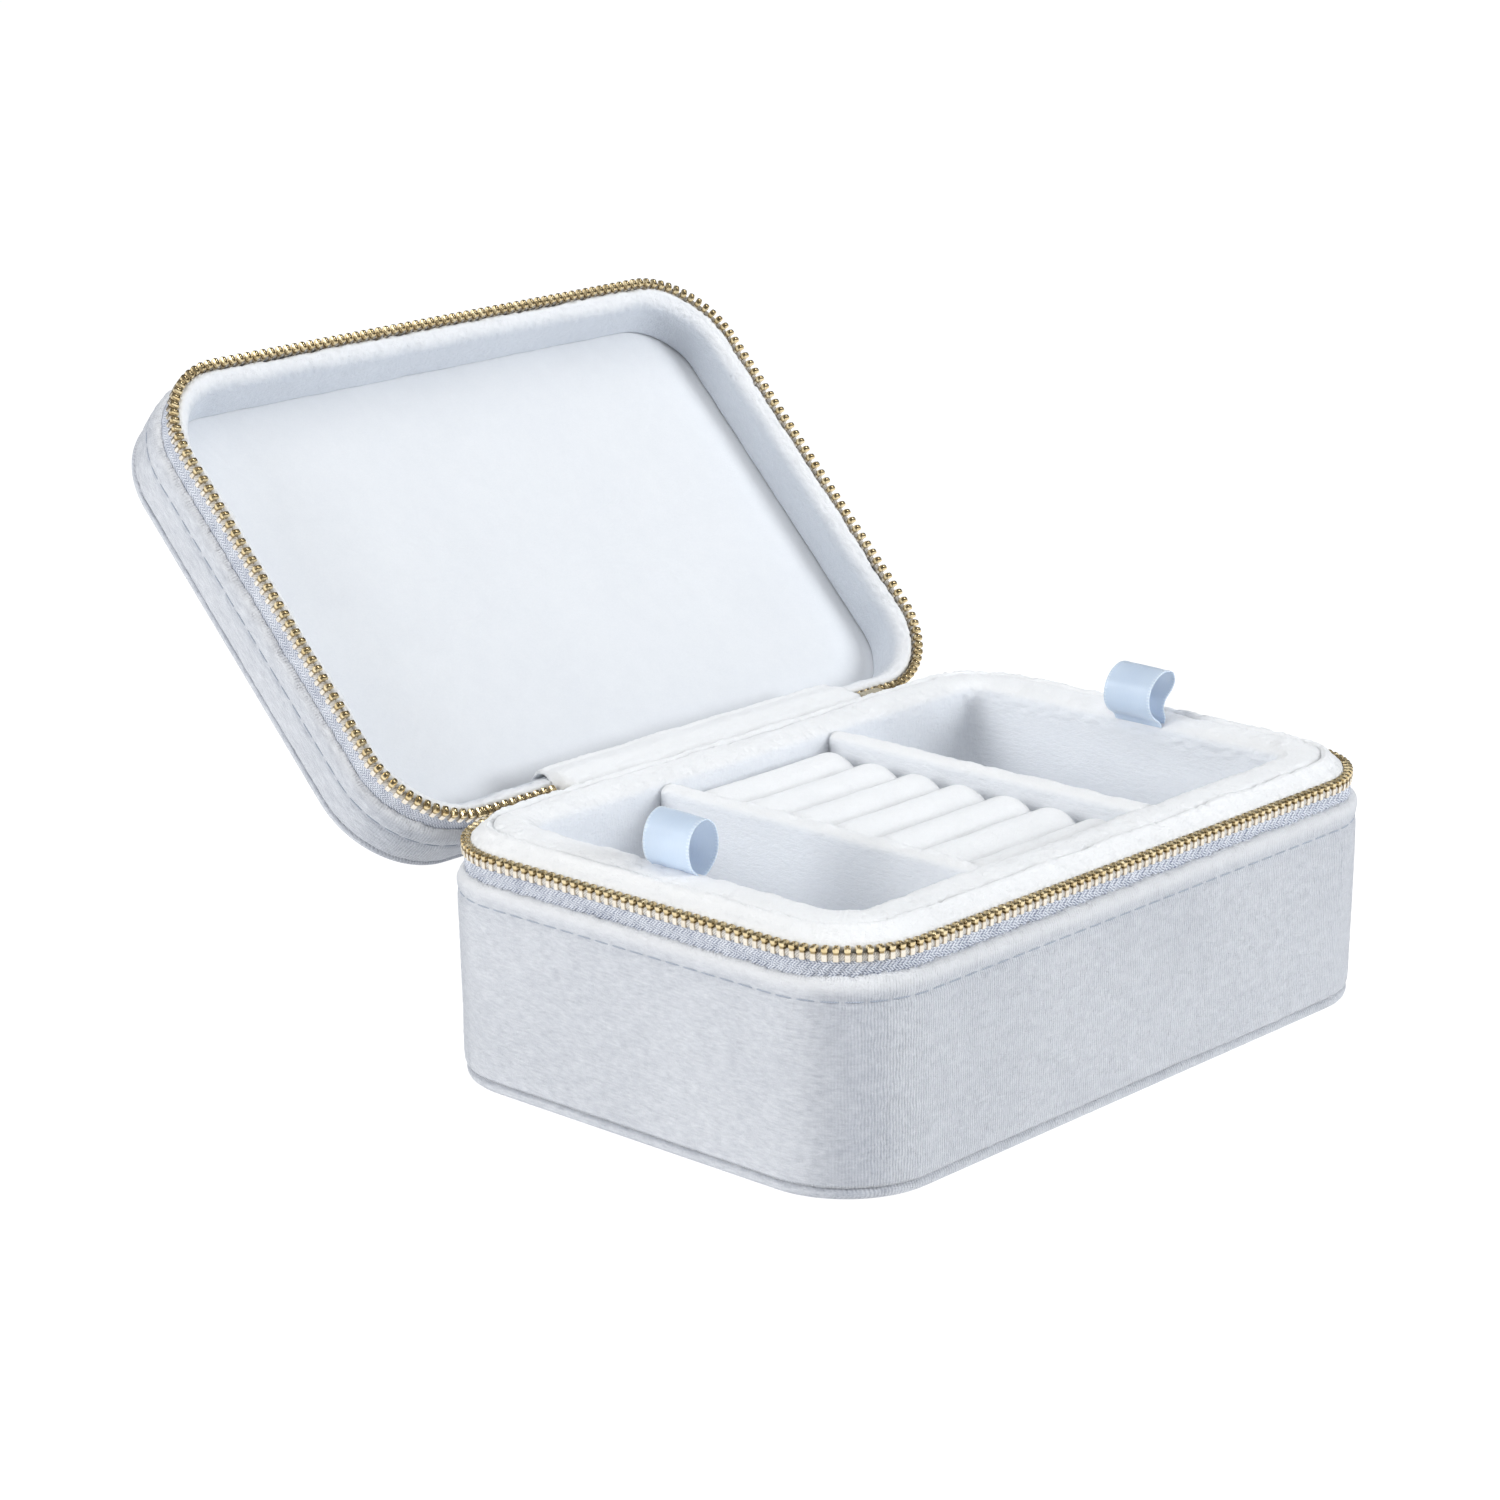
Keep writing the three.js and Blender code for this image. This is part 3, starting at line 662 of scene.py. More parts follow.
def cover_shape(fold, up):
    """Velvet pulled over a board: a puckered band beside the zip, a stitched groove, slight
    hollows, and a join at the back. up is 1 where the fold is a top edge, else -1."""
    def shape(grid, distance, section):
        below = (fold - grid[..., 2]) * up
        past = below - STITCH_LINE
        outer = ramp(1.2 - np.abs(section[:, 0]), 0, 0.5)[:, None]

        quilting = 0.05 * np.sin(2 * math.pi * distance / STITCH_PITCH)[None]
        puckers = 0.12 * waves(grid, 5.5, 11, stretch=(1, 1, 2.5)) + 0.08 * waves(grid, 2.4, 12)
        band = np.exp(-((below - 2.3) / 1.5) ** 2) * (0.1 + quilting + puckers)
        drag = 0.06 * np.exp(-np.clip(past, 0, None) / 3.5) * (past > 0)
        drag = drag * waves(grid, 6, 13, stretch=(1, 1, 4))
        hollows = 0.12 * waves(grid, 50, 14) + 0.03 * waves(grid, 14, 15)
        pile = 0.035 * waves(grid, 1.6, 16, count=24)
        held = 1 - np.exp(-(past / 1.2) ** 2)    # nothing moves the velvet at the stitches
        loose = held * (band + drag + hollows + pile)

        groove = (-0.5 if up > 0 else -0.3) * np.exp(-(past / 0.5) ** 2)
        from_join = np.minimum(distance, distance[-1] - distance)
        join = -0.3 * np.exp(-(from_join / 0.5) ** 2)
        lift = 0.8 * np.exp(-(below / 1.6) ** 2) * ramp(-grid[..., 1], 38, 56) * (up > 0)
        ragged = 0.16 * waves(grid, 1.5, 17, count=24) + 0.1 * waves(grid, 5, 18)
        ragged = ragged * np.exp(-(below / 0.7) ** 2)
        return outer * (loose + groove + join) + lift + ragged
    return shape


def stitches(body, line_z):
    """Topstitching: one short thread after another, each dipping into the velvet at its ends."""
    route = Route(0.25)
    path = route.points(PLANS[body](0.12, line_z))
    count = int(route.length / STITCH_PITCH)
    share, turn = np.linspace(-1, 1, 9), np.linspace(0, 2 * math.pi, 8, endpoint=False)[:, None]
    dip = 0.2 + 0.24 * np.abs(share) ** 6
    thick = THREAD_RADIUS * np.sqrt(np.maximum(1 - np.abs(share) ** 4, 0.1))
    away, rise = thick * np.cos(turn) + 0.05 - dip, thick * np.sin(turn)
    points, faces, weave = [], [], []
    for k in range(count):
        along = (k + 0.5) * route.length / count + 0.47 * STITCH_PITCH * share
        x, y, out_x, out_y = (np.interp(along, route.distance, v)
                              for v in (*path.T, *route.out.T))
        points.append(np.stack([x + out_x * away, y + out_y * away, line_z + rise], -1))
        twist = np.broadcast_arrays(along, turn * THREAD_RADIUS, 0.0)
        weave.append(np.stack(twist, -1))
        first = k * away.size
        faces += [[first + a for a in face] for face in tube(*away.shape)]
    points, weave = (np.concatenate(v).reshape(-1, 3) for v in (points, weave))
    piece(f"{body}_stitches", points, outward_faces(points, faces), THREAD, body, "outer_velvet",
          weave=weave)


def make_base_cover():
    section = curve([
        (1.35, SEAM + 0.3), (0.95, SEAM - 0.1), (0.6, SEAM + 0.6), (0.42, SEAM + 3), (0.4, 12),
        (0.2, 22), (0.05, 31), (0.0, 36), *((inset, FOLD - down) for inset, down in FOLD_TURN),
        (1.4, 30), (1.4, 16), (1.4, SEAM + 2),
    ], 110)
    ripple = cover_shape(FOLD, 1)

    def shape(grid, distance, section):
        x, y, z = (grid[..., k] for k in range(3))
        crease = np.exp(-((x - FRONT_CREASE) / 0.7) ** 2) * (y < 0)
        crease = crease * ramp(z, 25, 29) * ramp(-z, -38, -35)
        crease = crease * ramp(1.0 - np.abs(section[:, 0]), 0, 0.5)[:, None]
        return ripple(grid, distance, section) - 0.5 * crease
    swept("base_velvet", section, COVER_RING, OUTER, "base", "outer_velvet", shape,
          flat_weave=True, stands_for=["base_cover"], edge_z=(FOLD - 3.4, FOLD - 0.8))
    stitches("base", FOLD - STITCH_LINE)


def make_base_bottom():
    side = curve([(3.4, 0.02), (2.0, 0.1), (1.2, 0.55), (0.85, 1.3), (0.95, 2.0),
                  (1.5, SEAM - 0.1)], 14, closed=False)

    def shape(grid, section):
        shows = (section[:, 0] < 3.2) & (section[:, 1] > 0.3)
        return 0.03 * waves(grid, 3, 21) * shows[:, None]
    plate("base_underside", side.tolist(), OUTER, "base", "outer_velvet",
          rings=(6, 12, 22, 36), shape=shape, stands_for=["bottom_cover"])


def make_lid_cover():
    section = curve([
        (1.35, LID_SEAM - 0.3), (0.95, LID_SEAM + 0.1), (0.55, LID_SEAM - 0.3),
        (0.3, LID_SEAM - 1.6), (0.1, 65.3), *((inset, LID_FOLD + up) for inset, up in FOLD_TURN),
        (1.4, 63), (1.4, LID_SEAM - 1.6),
    ], 84)
    swept("lid_velvet", section, COVER_RING, OUTER, "lid", "outer_velvet",
          cover_shape(LID_FOLD, -1), flat_weave=True, stands_for=["lid_cover"],
          edge_z=(LID_FOLD + 2.4, LID_FOLD - 0.8))
    stitches("lid", LID_FOLD + STITCH_LINE)


def make_lid_top():
    side = curve([(1.5, LID_SEAM + 0.1), (0.8, LID_SEAM + 0.3), (0.45, LID_SEAM + 0.8),
                  (0.75, LID_TOP - 0.9), (1.6, LID_TOP - 0.25), (3.4, LID_TOP)], 16, closed=False)

    def shape(grid, section):
        upper = (np.arange(len(section)) > len(section) / 2) & (section[:, 1] > LID_TOP - 0.3)
        crown = 0.5 * ramp(section[:, 0], 1, 26)[:, None]
        return upper[:, None] * (crown + 0.12 * waves(grid, 40, 31) + 0.03 * waves(grid, 3, 32))
    plate("lid_outside", side.tolist(), OUTER, "lid", "outer_velvet",
          rings=(5, 8, 12, 17, 22, 28, 34, 42), shape=shape, stands_for=["lid_top_cover"])


# ---- Zip ----


def zip_tape(body, far, near):
    """The tape, from its far edge to near the teeth, which pull the base's into slanting ridges."""
    outside, inside = TAPE_INSETS
    middle = (far + near) / 2
    section = curve([(inside, far), (outside, far), (outside, middle), (outside, near),
                     (inside, near), (inside, middle)], 40)

    def ridged(grid, distance, section):
        rise = grid[..., 2] - far
        slant = distance[None] + rise * 0.9
        ridges = 0.26 * np.sin(2 * math.pi * slant / TOOTH_PITCH)
        face = np.sign((outside + inside) / 2 - section[:, 0])[:, None]
        return face * ramp(rise, 2.5, 5) * (ridges + 0.1 * waves(grid, 9, 41))
    swept(f"{body}_zip_tape", section, ZIP_ROUTE, TAPE, body, "zip_tape",
          ridged if body == "base" else None, flat_weave=True, stands_for=[f"zip_tape_{body}"])


def tooth():
    """One tooth of a row along X that points up, with a cup in its top."""
    points = []
    for height, wide, thick in TOOTH_LEVELS:
        for j in range(TOOTH_SIDES):
            turn = 2 * math.pi * (j + 0.5) / TOOTH_SIDES
            c, s = math.cos(turn), math.sin(turn)
            reach = 1 / (abs(c) ** SQUARENESS + abs(s) ** SQUARENESS) ** (1 / SQUARENESS)
            points.append([wide * c * reach, thick * s * reach, height])
    faces = quads(len(TOOTH_LEVELS), TOOTH_SIDES, False, True)
    faces.append(list(range(TOOTH_SIDES)))
    brim, brim_z = (len(TOOTH_LEVELS) - 1) * TOOTH_SIDES, TOOTH_LEVELS[-1][0]
    for x, y, _ in points[brim:]:
        points.append([0.55 * x, 0.6 * y, brim_z - 0.05 + 0.1 * (abs(y) > 0.4)])
    faces += [[a + brim for a in face] for face in quads(2, TOOTH_SIDES, False, True)]
    points.append([0, 0, brim_z - CUP_DEPTH])
    for j in range(TOOTH_SIDES):
        around = brim + TOOTH_SIDES
        faces.append([around + j, around + (j + 1) % TOOTH_SIDES, len(points) - 1])
    return np.array(points), faces


def zip_teeth(body, foot, up):
    """A row of teeth at an even pitch, each clamped over the tape's edge."""
    route = ZIP_ROUTE
    path = route.points(PLANS[body](TEETH_INSET, foot))
    shape, tooth_faces = tooth()
    count = int(route.length / TOOTH_PITCH)
    numbers = np.arange(count)[:, None] + 0.5
    x, y, out_x, out_y = (np.interp(numbers * route.length / count, route.distance, v)
                          for v in (*path.T, *route.out.T))
    size = np.hypot(out_x, out_y)
    out_x, out_y = out_x / size, out_y / size
    a, b, c = shape.T
    points = np.stack([x + out_y * a + out_x * b, y - out_x * a + out_y * b,
                       foot + up * c + 0 * x], -1).reshape(-1, 3)
    weave = np.stack(np.broadcast_arrays(numbers * TOOTH_PITCH + a, b, c), -1).reshape(-1, 3)
    faces = [[k * len(shape) + i for i in face] for k in range(count) for face in tooth_faces]
    piece(f"{body}_teeth", points, outward_faces(points, faces), TOOTH_GOLD, body, "gold_metal",
          weave=weave, stands_for=[f"zip_teeth_{body}"], creases=32)


def zip_cord(body, low, high):
    """The cord along the tape's edge, which shows between the teeth."""
    middle = (low + high) / 2
    section = [(TEETH_INSET + 0.62 * math.cos(a), middle + 0.5 * (high - low) * math.sin(a))
               for a in np.linspace(0, 2 * math.pi, 14, endpoint=False)]
    swept(f"{body}_zip_cord", section, ZIP_ROUTE, CORD, body, "zip_tape", flat_weave=True)


def make_zips():
    """Both halves of the zip: the base's teeth point up (1) and the lid's down (-1)."""
    for body, tape_end, foot, up in (("base", TAPE_LOW, TEETH_LOW, 1),
                                     ("lid", LID_FOLD + 4, LID_TEETH_HIGH, -1)):
        zip_tape(body, tape_end, foot - 0.4 * up)
        zip_cord(body, *sorted((foot - 0.35 * up, foot + 1.1 * up)))
        zip_teeth(body, foot, up)


# ---- Linings ----


def fluff(seed, size=0.3, from_z=None, up=1):
    """Uneven padding and pile. Above from_z (below it for the lid) the pile is longer."""
    def shape(grid, distance, section):
        rim = 1.0 if from_z is None else ramp((grid[..., 2] - from_z) * up, 0, 1.5)
        lumps = size * waves(grid, 15, seed) + 0.5 * size * waves(grid, 5, seed + 1)
        tufts = 0.55 - np.abs(waves(grid, 2.4, seed + 2, count=20))
        pile = 0.19 * tufts + 0.05 * waves(grid, 1.1, seed + 4, count=26)
        return rim * (lumps + pile) + (1 - rim) * 0.06 * waves(grid, 9, seed + 3)
    return shape


def make_base_lining():
    section = curve([
        (4.0, 8), (4.0, 30), (4.0, 43), (3.5, 46.2), (2.9, 47.7), (2.8, 48.8), (3.4, 49.8),
        (4.3, 50.4), (5.1, 51.2), (6.0, LIP_TOP - 0.1), (6.9, LIP_TOP - 0.2), (7.5, LIP_TOP - 1.1),
        (7.3, 49), (7.2, 46), (7.2, 30), (7.2, 8), (6.9, 6.1), (4.3, 6.1),
    ], 150)
    lumps = fluff(51, 0.16, 48)
    slider_left, slider_right = (corner[0] for corner in span("zip_slider"))

    def shape(grid, distance, section):
        x, y, z = (grid[..., k] for k in range(3))
        # The slider presses into the lip where it rests, and on its way there.
        pressed = ramp(x, slider_left - 2, slider_left) * (y > 0)
        past = x - slider_right - DENT_REACH
        pressed = pressed * ramp(-past, -2, 0)
        pressed = pressed * ramp(4.6 - section[:, 0], 0, 0.8)[:, None] * ramp(z, 42, 45)
        return lumps(grid, distance, section) - DENT_DEPTH * pressed
    swept("base_padding", section, FINE_RING, FLUFFY, "base", "lining_velvet", shape,
          stands_for=["base_lining"], edge_z=(47, 50), fill=0.7)


def make_tray_ledge():
    section = curve([
        (7.55, 6.4), (7.55, 16), (7.55, 25.5), (8.0, 26.5), (9, 26.6), (10.0, 26.4), (10.4, 25.2),
        (10.4, 16), (10.3, 6.6), (9, 6.1),
    ], 40)
    swept("tray_ledge_padding", section, RING, LINING, "base", "lining_velvet", fluff(55, 0.06),
          stands_for=["tray_ledge"], fill=0.9)


def make_base_floor():
    low, high = (corner[2] for corner in span("base_floor_lining"))

    def shape(grid, section):
        loose = (section[:, 1] > high - 0.05) & (section[:, 0] > 9)
        return 0.12 * waves(grid, 24, 58) * loose[:, None]
    plate("base_floor", [(4.0, low), (3.8, low + 0.2), (3.8, high - 0.2), (4.1, high)], LINING,
          "base", "lining_velvet", rings=(8, 12, 16, 22, 28, 36, 44), shape=shape,
          stands_for=["base_floor_lining"])


def make_lid_lining():
    section = curve([
        (3.6, PAD_FACE - 0.4), (3.5, 58), (3.0, 55.4), (2.8, 53.7), (3.15, 52.7), (3.9, 52.4),
        (4.6, 53.0), (5.4, 53.9), (6.2, 55.2), (6.7, 56.8), (6.8, 60), (6.8, PAD_FACE - 0.5),
        (5.2, PAD_FACE - 0.3),
    ], 90)
    swept("lid_padding", section, FINE_RING, LID_WALL_SHADED, "lid", "lining_velvet",
          fluff(61, 0.16, 56.5, -1), stands_for=["lid_lining"], edge_z=(56.0, 53.0), fill=0.7)


def make_lid_pad():
    def shape(grid, section):
        face = (section[:, 1] < PAD_FACE + 0.6) & (section[:, 0] > 6.0)
        sag = -0.45 * ramp(section[:, 0], 6.5, 22)[:, None]
        sag = sag + 0.12 * waves(grid, 45, 64) + 0.04 * waves(grid, 2.2, 65)
        return sag * face[:, None]
    side = curve([(5.6, PAD_FACE), (4.3, PAD_FACE + 0.3), (3.9, PAD_FACE + 1.0), (4.2, PAD_BACK)],
                 10, closed=False)
    plate("lid_pad", side.tolist(), LINING, "lid", "lining_velvet",
          rings=(6.4, 7.2, 8.4, 10, 12, 15, 18, 22, 26, 31, 36, 42, 48), shape=shape,
          stands_for=["lid_inner_pad"], fill=0.5)


# ---- Hinge strip ----


def make_hinge_strip():
    """One strip of padded velvet from behind the base's cover, over the hinge, to the lid's rim."""
    def shut(y, z):
        return opened(np.array([[0.0, y, z]]))[0, 1:].tolist()
    outside = [(55.2, 41.2), (56.3, 41.2), (56.5, 42.8), (57.5, 43.9), (57.8, 46), (57.8, 48.2),
               (58.3, 49.0), shut(57.4, 51.2), shut(57.5, 54), shut(57.4, 56.9), shut(56.2, 57.9),
               shut(55.6, 59.6)]
    inside = [shut(54.9, 59.4), shut(54.5, 57), shut(54.4, 54.2), shut(53.6, 53.2),
              shut(52.3, 53.3), shut(51.4, 53.9), shut(50.8, 55), shut(50.8, 57), shut(50.1, 57),
              shut(49.9, 54.8), shut(50.2, 53.4), shut(51.2, 52.7), (60.6, 52.3), (58, 51.7),
              (56, 51.5), (54.9, 50.6), (54.7, 48.5), (54.9, 44)]
    section = curve(outside + inside, 150)
    x = np.linspace(STRIP_LEFT, STRIP_RIGHT, 110)
    m, n = len(section), len(x)
    grid = np.stack(np.broadcast_arrays(x[None], section[:, :1], section[:, 1:]), -1)
    lumps = 0.1 * waves(grid, 14, 71) + 0.05 * waves(grid, 5, 72)
    lumps = lumps + 0.07 * waves(grid, 1.4, 73, count=26)
    at_ends = np.exp(-np.minimum(x - STRIP_LEFT, STRIP_RIGHT - x) / 0.9)
    lumps = lumps - 0.3 * at_ends[None]
    grid[..., 1:] += outward_of(section)[:, None] * lumps[..., None]
    points = grid.reshape(-1, 3)
    made = piece("hinge_strip", points, outward_faces(points, tube(m, n)), FLUFFY, None,
                 "lining_velvet", stands_for=["hinge_strip_base", "hinge_strip_lid"],
                 edge_z=(46, 49))
    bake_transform(made)


# ---- Tray ----


def make_tray_frame():
    section = curve([
        (7.6, 29), (7.6, 42), (7.5, 49.4), (7.45, 51.0), (8.3, 51.9), (11.2, 52.2), (13.6, 52.0),
        (15.2, 51.4), (16.2, 50.2), (16.5, 48.2), (16.5, 42), (16.5, 29), (16.0, 27.1),
        (8.1, 27.1),
    ], 120)
    lumps = fluff(81, 0.2, 48.5)

    def shape(grid, distance, section):
        tucks = np.exp(-((grid[..., 2] - 48.6) / 1.6) ** 2) * (section[:, 0] > 15.5)[:, None]
        tucks = tucks * ramp(grid[..., 0], 60, 66)    # only at the right-hand end
        tucks = tucks * 0.2 * waves(grid, 2.4, 85, stretch=(1, 1.6, 0.5))
        return lumps(grid, distance, section) + tucks
    swept("tray_padding", section, FINE_RING, FLUFFY, "tray", "lining_velvet", shape,
          stands_for=["tray_frame"], edge_z=(49.8, 51.2), fill=0.7)


def slab(name, section, axis, start, end, material, lumps, stands_for, dome=0.0, columns=90,
         edge_z=None):
    """A padded bar of the tray: a closed section of (across, height) points drawn along X or Y.
    lumps moves its points outward, and its ends are rounded off over a distance of dome."""
    section = np.array(section)
    if dome:
        share = 0.5 - 0.5 * np.cos(np.linspace(0, math.pi, columns))
        along = start + (end - start) * share
        inside = np.clip(np.minimum(along - start, end - along) / dome, 0, 1)
        shrink = np.sqrt(np.clip(1 - (1 - inside) ** 2, 0, 1)) * 0.86 + 0.14
    else:
        along = np.linspace(start, end, columns)
        shrink = np.ones(columns)
    foot = section[:, 1].min()
    middle = section[:, 0].mean()
    across = middle + (section[:, 0] - middle)[:, None] * (0.3 + 0.7 * shrink)[None]
    height = foot + (section[:, 1] - foot)[:, None] * shrink[None]
    first, second = (0, 1) if axis == "x" else (1, 0)
    grid = np.zeros((len(section), columns, 3))
    grid[..., first] = along[None]
    grid[..., second] = across
    grid[..., 2] = height
    grid[..., [second, 2]] += outward_of(section)[:, None] * lumps(grid)[..., None]
    points = grid.reshape(-1, 3)
    faces = outward_faces(points, tube(len(section), columns))
    return piece(name, points, faces, material, "tray", "lining_velvet", stands_for=stands_for,
                 edge_z=edge_z, fill=0.8)


def make_dividers():
    for side, seed in (("left", 91), ("right", 94)):
        low, high = span(f"divider_{side}")
        middle, half, top = (low[0] + high[0]) / 2, (high[0] - low[0]) / 2, high[2]
        section = curve([
            (middle + half, low[2] + 0.3), (middle + half, low[2] + 9), (middle + half, top - 2.2),
            (middle + half * 0.72, top - 0.6), (middle, top), (middle - half * 0.72, top - 0.6),
            (middle - half, top - 2.2), (middle - half, low[2] + 9), (middle - half, low[2] + 0.3),
            (middle, low[2]),
        ], 64)

        def lumps(grid):
            rim = ramp(grid[..., 2], top - 4, top - 1)
            pile = (0.03 + 0.08 * rim) * waves(grid, 1.7, seed + 1, count=26)
            return rim * 0.16 * waves(grid, 10, seed) + pile
        slab(f"divider_{side}_padding", section, "y", low[1], high[1], FLUFFY, lumps,
             [f"divider_{side}"], columns=120, edge_z=(top - 2, top - 0.6))


def make_roll_bed():
    low, high = span("ring_base")
    section = [(low[1], low[2]), (high[1], low[2]), (high[1], high[2] - 0.3),
               (high[1] - 0.4, high[2]), (low[1] + 0.4, high[2]), (low[1], high[2] - 0.3)]
    slab("roll_bed", section, "x", low[0], high[0], LINING, lambda grid: 0 * grid[..., 0],
         ["ring_base"], columns=12)


def make_rolls():
    """The foam rolls that hold rings: round on top, flat against each other, domed at the ends."""
    rolls = []
    for i in range(1, 8):
        low, high = span(f"ring_roll_{i}")
        middle, half, top = (low[1] + high[1]) / 2, (high[1] - low[1]) / 2 + ROLL_PRESS, high[2]
        radius = half + ROLL_SPARE
        arc = [(middle + min(max(radius * math.cos(a), -half), half),
                top - radius + radius * math.sin(a)) for a in np.linspace(0.3, math.pi - 0.3, 13)]
        section = curve([(middle - half + 0.6, low[2]), (middle + half - 0.6, low[2]),
                         (middle + half, low[2] + 2), *arc, (middle - half, low[2] + 2)], 48)

        def lumps(grid):
            pile = 0.05 * waves(grid, 1.6, 110 + i, count=24)
            return 0.1 * waves(grid, 12, 100 + i) + pile
        made = slab(f"ring_roll_padding_{i}", section, "x", low[0], high[0] - 0.6, FLUFFY, lumps,
                    [f"ring_roll_{i}"], dome=5.0, columns=56, edge_z=(low[2], top - 2))
        rolls.append(made)
    swell(rolls, held_below=low[2] + 1.5, limit=0.6)


def make_tray_floor():
    low, high = span("tray_floor")
    edge = span("tray_frame")[1][0] - high[0] + 7.6    # its inset from the case's outside

    def shape(grid, section):
        loose = (section[:, 1] > high[2] - 0.05) & (section[:, 0] > edge + 3)
        return 0.1 * waves(grid, 18, 121) * loose[:, None]
    side = [(edge + 0.3, low[2]), (edge, low[2] + 0.3), (edge, high[2] - 0.3),
            (edge + 0.3, high[2])]
    plate("tray_floor_velvet", side, LINING, "tray", "lining_velvet",
          rings=(edge + 2, edge + 5, edge + 10, edge + 18, edge + 26), shape=shape,
          stands_for=["tray_floor"])


# Each lifting ribbon's path, seen along Y, as (x, z): up out of the seam beside the rim, over, and
# back down.
LOOP_LEFT = [(-70.9, 50.8), (-71.8, 51.9), (-73.5, 53.6), (-74.3, 56.4), (-73.8, 59.7),
             (-71.8, 62.0), (-69.2, 62.5), (-67.0, 60.9), (-66.1, 57.9), (-66.7, 54.9),
             (-68.4, 52.7), (-69.9, 51.6), (-70.2, 50.8)]
LOOP_RIGHT = [(69.0, 50.8), (68.2, 52.1), (66.0, 53.7), (64.6, 56.2), (65.0, 59.4), (67.2, 61.9),
              (70.2, 62.9), (72.8, 62.2), (73.6, 60.3), (72.4, 58.4), (70.4, 56.8), (69.6, 54.8),
              (70.2, 52.7), (69.7, 50.8)]


def make_ribbon(side, loop):
    """Satin ribbon folded into a loop, its two ends sewn into the seam beside the tray's rim."""
    node = f"pull_ribbon_{side}"
    low, high = span(node)
    line = curve(loop, 90, closed=False)
    along = np.gradient(line, axis=0)
    out = np.stack([along[:, 1], -along[:, 0]], -1) / np.linalg.norm(along, axis=1)[:, None]
    steps = np.linalg.norm(np.diff(line, axis=0), axis=1)
    travelled = np.concatenate([[0], np.cumsum(steps)])
    y = np.linspace(low[1], high[1], 26)
    from_middle = y - y.mean()
    from_edge = np.minimum(y - low[1], high[1] - y)
    bead = RIBBON_THICKNESS / 2 * (0.75 + 0.6 * np.exp(-((from_edge - 0.35) / 0.3) ** 2))
    bow = 0.16 * np.sin(2.2 * travelled / 7)[:, None]
    bow = bow * np.cos(math.pi * from_middle / RIBBON_WIDTH)[None]
    skew = 0.035 * from_middle[None] * ramp(line[:, 1], 52, 60)[:, None]
    faces_of_ribbon = []
    for face in (1, -1):
        push = face * bead[None] + bow
        x = line[:, :1] + out[:, :1] * push + skew
        z = line[:, 1:] + out[:, 1:] * push
        faces_of_ribbon.append(np.stack(np.broadcast_arrays(x, y[None], z), -1)[:, ::face])
    strip = np.concatenate(faces_of_ribbon, 1)
    m, n = strip.shape[:2]
    points = strip.reshape(-1, 3)
    ends = [list(range(n)), [(m - 1) * n + k for k in reversed(range(n))]]
    faces = outward_faces(points, quads(m, n, False, True) + ends)
    across = np.concatenate([y, y[::-1]]) - low[1]
    weave = np.stack(np.broadcast_arrays(travelled[:, None], across[None], 0.0), -1)
    made = piece(f"ribbon_{side}", points, faces, SATIN, "tray", "satin_ribbon",
                 weave=weave.reshape(-1, 3), stands_for=[node], creases=60)


# ---- Slider and puller ----


def finish_metal():
    """The slider and the puller keep their CAD shapes, with their edges rounded off."""
    for name in ("zip_slider", "zip_puller"):
        node = frame["nodes"][name]
        node.data.materials.clear()
        node.data.materials.append(GOLD)
        rounded = node.modifiers.new("rounded", "BEVEL")
        rounded.width = 0.22 * MM
        rounded.segments = 3
        rounded.limit_method = "ANGLE"


def finish_boards():
    """The boards keep their CAD shapes too; the velvet hides them."""
    for name, node in frame["nodes"].items():
        if name.endswith("_board"):
            node.data.materials.clear()
            node.data.materials.append(CARD)


# ---- Stage ----


def make_floor():
    """A plain floor, lit up evenly to the photograph's white."""
    s = Shader("floor", Roughness=0.9, Base_Color=(0.15, 0.15, 0.15, 1), Specular_IOR_Level=0.0,
               Emission_Color=(1, 1, 1, 1), Emission_Strength=0.985)
    reach = 6.0
    mesh = bpy.data.meshes.new("floor")
    corners = [(-reach, -reach, 0), (reach, -reach, 0), (reach, reach, 0), (-reach, reach, 0)]
    mesh.from_pydata(corners, [], [(0, 1, 2, 3)])
    mesh.materials.append(s.material)
    floor = bpy.data.objects.new("floor", mesh)
    bpy.context.scene.collection.objects.link(floor)


def area_light(name, place, aim, size, watts, colour=(1, 1, 1)):
    data = bpy.data.lights.new(name, "AREA")
    data.shape = "DISK"
    data.size = size
    data.energy = watts
    data.color = colour
    light = bpy.data.objects.new(name, data)
    light.location = place
    light.rotation_mode = "QUATERNION"
    light.rotation_quaternion = (Vector(aim) - Vector(place)).to_track_quat("-Z", "Y")
    bpy.context.scene.collection.objects.link(light)


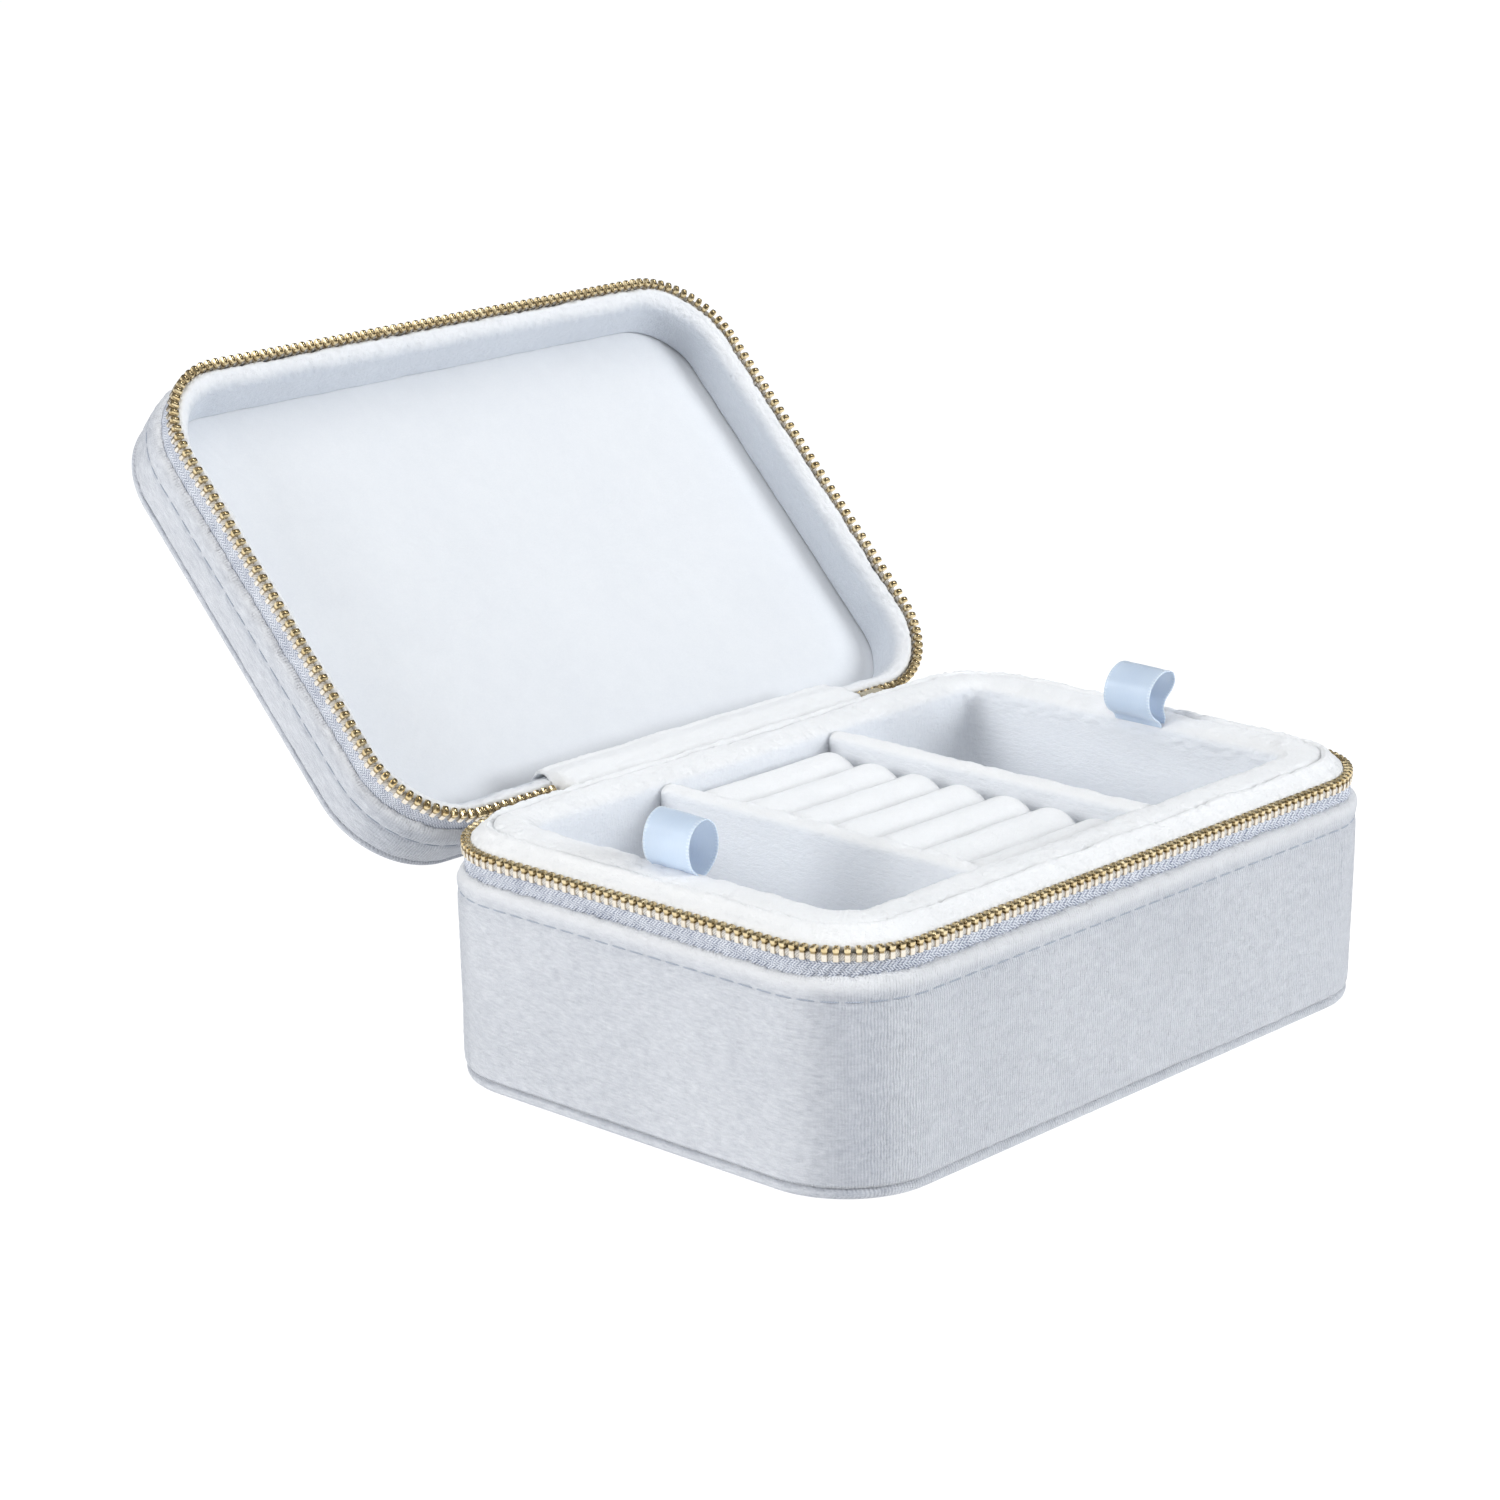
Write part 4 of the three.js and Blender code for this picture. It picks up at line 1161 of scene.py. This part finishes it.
def make_lights():
    area_light("top_softbox", (-0.1, -0.1, 1.4), (0, 0.05, 0), 1.3, 7.15)
    area_light("left_softbox", (-1.4, 0.45, 0.75), (0, 0.02, 0.03), 0.9, 17.2, (0.985, 0.99, 0.985))
    area_light("front_softbox", (0.75, -1.4, 0.6), (0, 0, 0.03), 0.8, 20.9, (0.95, 0.975, 1.0))
    world = bpy.data.worlds.new("studio")
    world.use_nodes = True
    background = world.node_tree.nodes["Background"]
    background.inputs["Color"].default_value = (1, 1, 1, 1)
    background.inputs["Strength"].default_value = 0.2
    bpy.context.scene.world = world
    bpy.context.scene.view_settings.view_transform = "Standard"


# The camera, turned round the case as it was for the photograph.
AZIMUTH, ELEVATION, ROLL = math.radians(-47.16), math.radians(16.32), math.radians(-0.55)
DISTANCE = 0.93515
AIM = Vector((0.0516, 0.09383, 0.030))
LENS, SENSOR = 98.91, 36.0


def make_camera():
    data = bpy.data.cameras.new("camera")
    data.lens, data.sensor_width, data.sensor_fit = LENS, SENSOR, "AUTO"
    data.clip_start, data.clip_end = 0.01, 30
    camera = bpy.data.objects.new("camera", data)
    level_reach, height = math.cos(ELEVATION), math.sin(ELEVATION)
    back = Vector((math.sin(AZIMUTH) * level_reach, -math.cos(AZIMUTH) * level_reach, height))
    level = Vector((math.cos(AZIMUTH), math.sin(AZIMUTH), 0))
    upright = back.cross(level)
    right = level * math.cos(ROLL) + upright * math.sin(ROLL)
    up = upright * math.cos(ROLL) - level * math.sin(ROLL)
    turn = Matrix((right, up, back)).transposed().to_4x4()
    camera.matrix_world = Matrix.Translation(AIM + back * DISTANCE) @ turn
    bpy.context.scene.collection.objects.link(camera)
    bpy.context.scene.camera = camera


make_camera()
make_floor()
make_lights()
make_base_cover()
make_base_bottom()
make_base_lining()
make_tray_ledge()
make_base_floor()
make_lid_cover()
make_lid_top()
make_lid_lining()
make_lid_pad()
make_zips()
make_hinge_strip()
make_tray_frame()
make_dividers()
make_roll_bed()
make_rolls()
make_tray_floor()
make_ribbon("left", LOOP_LEFT)
make_ribbon("right", LOOP_RIGHT)
finish_metal()
finish_boards()
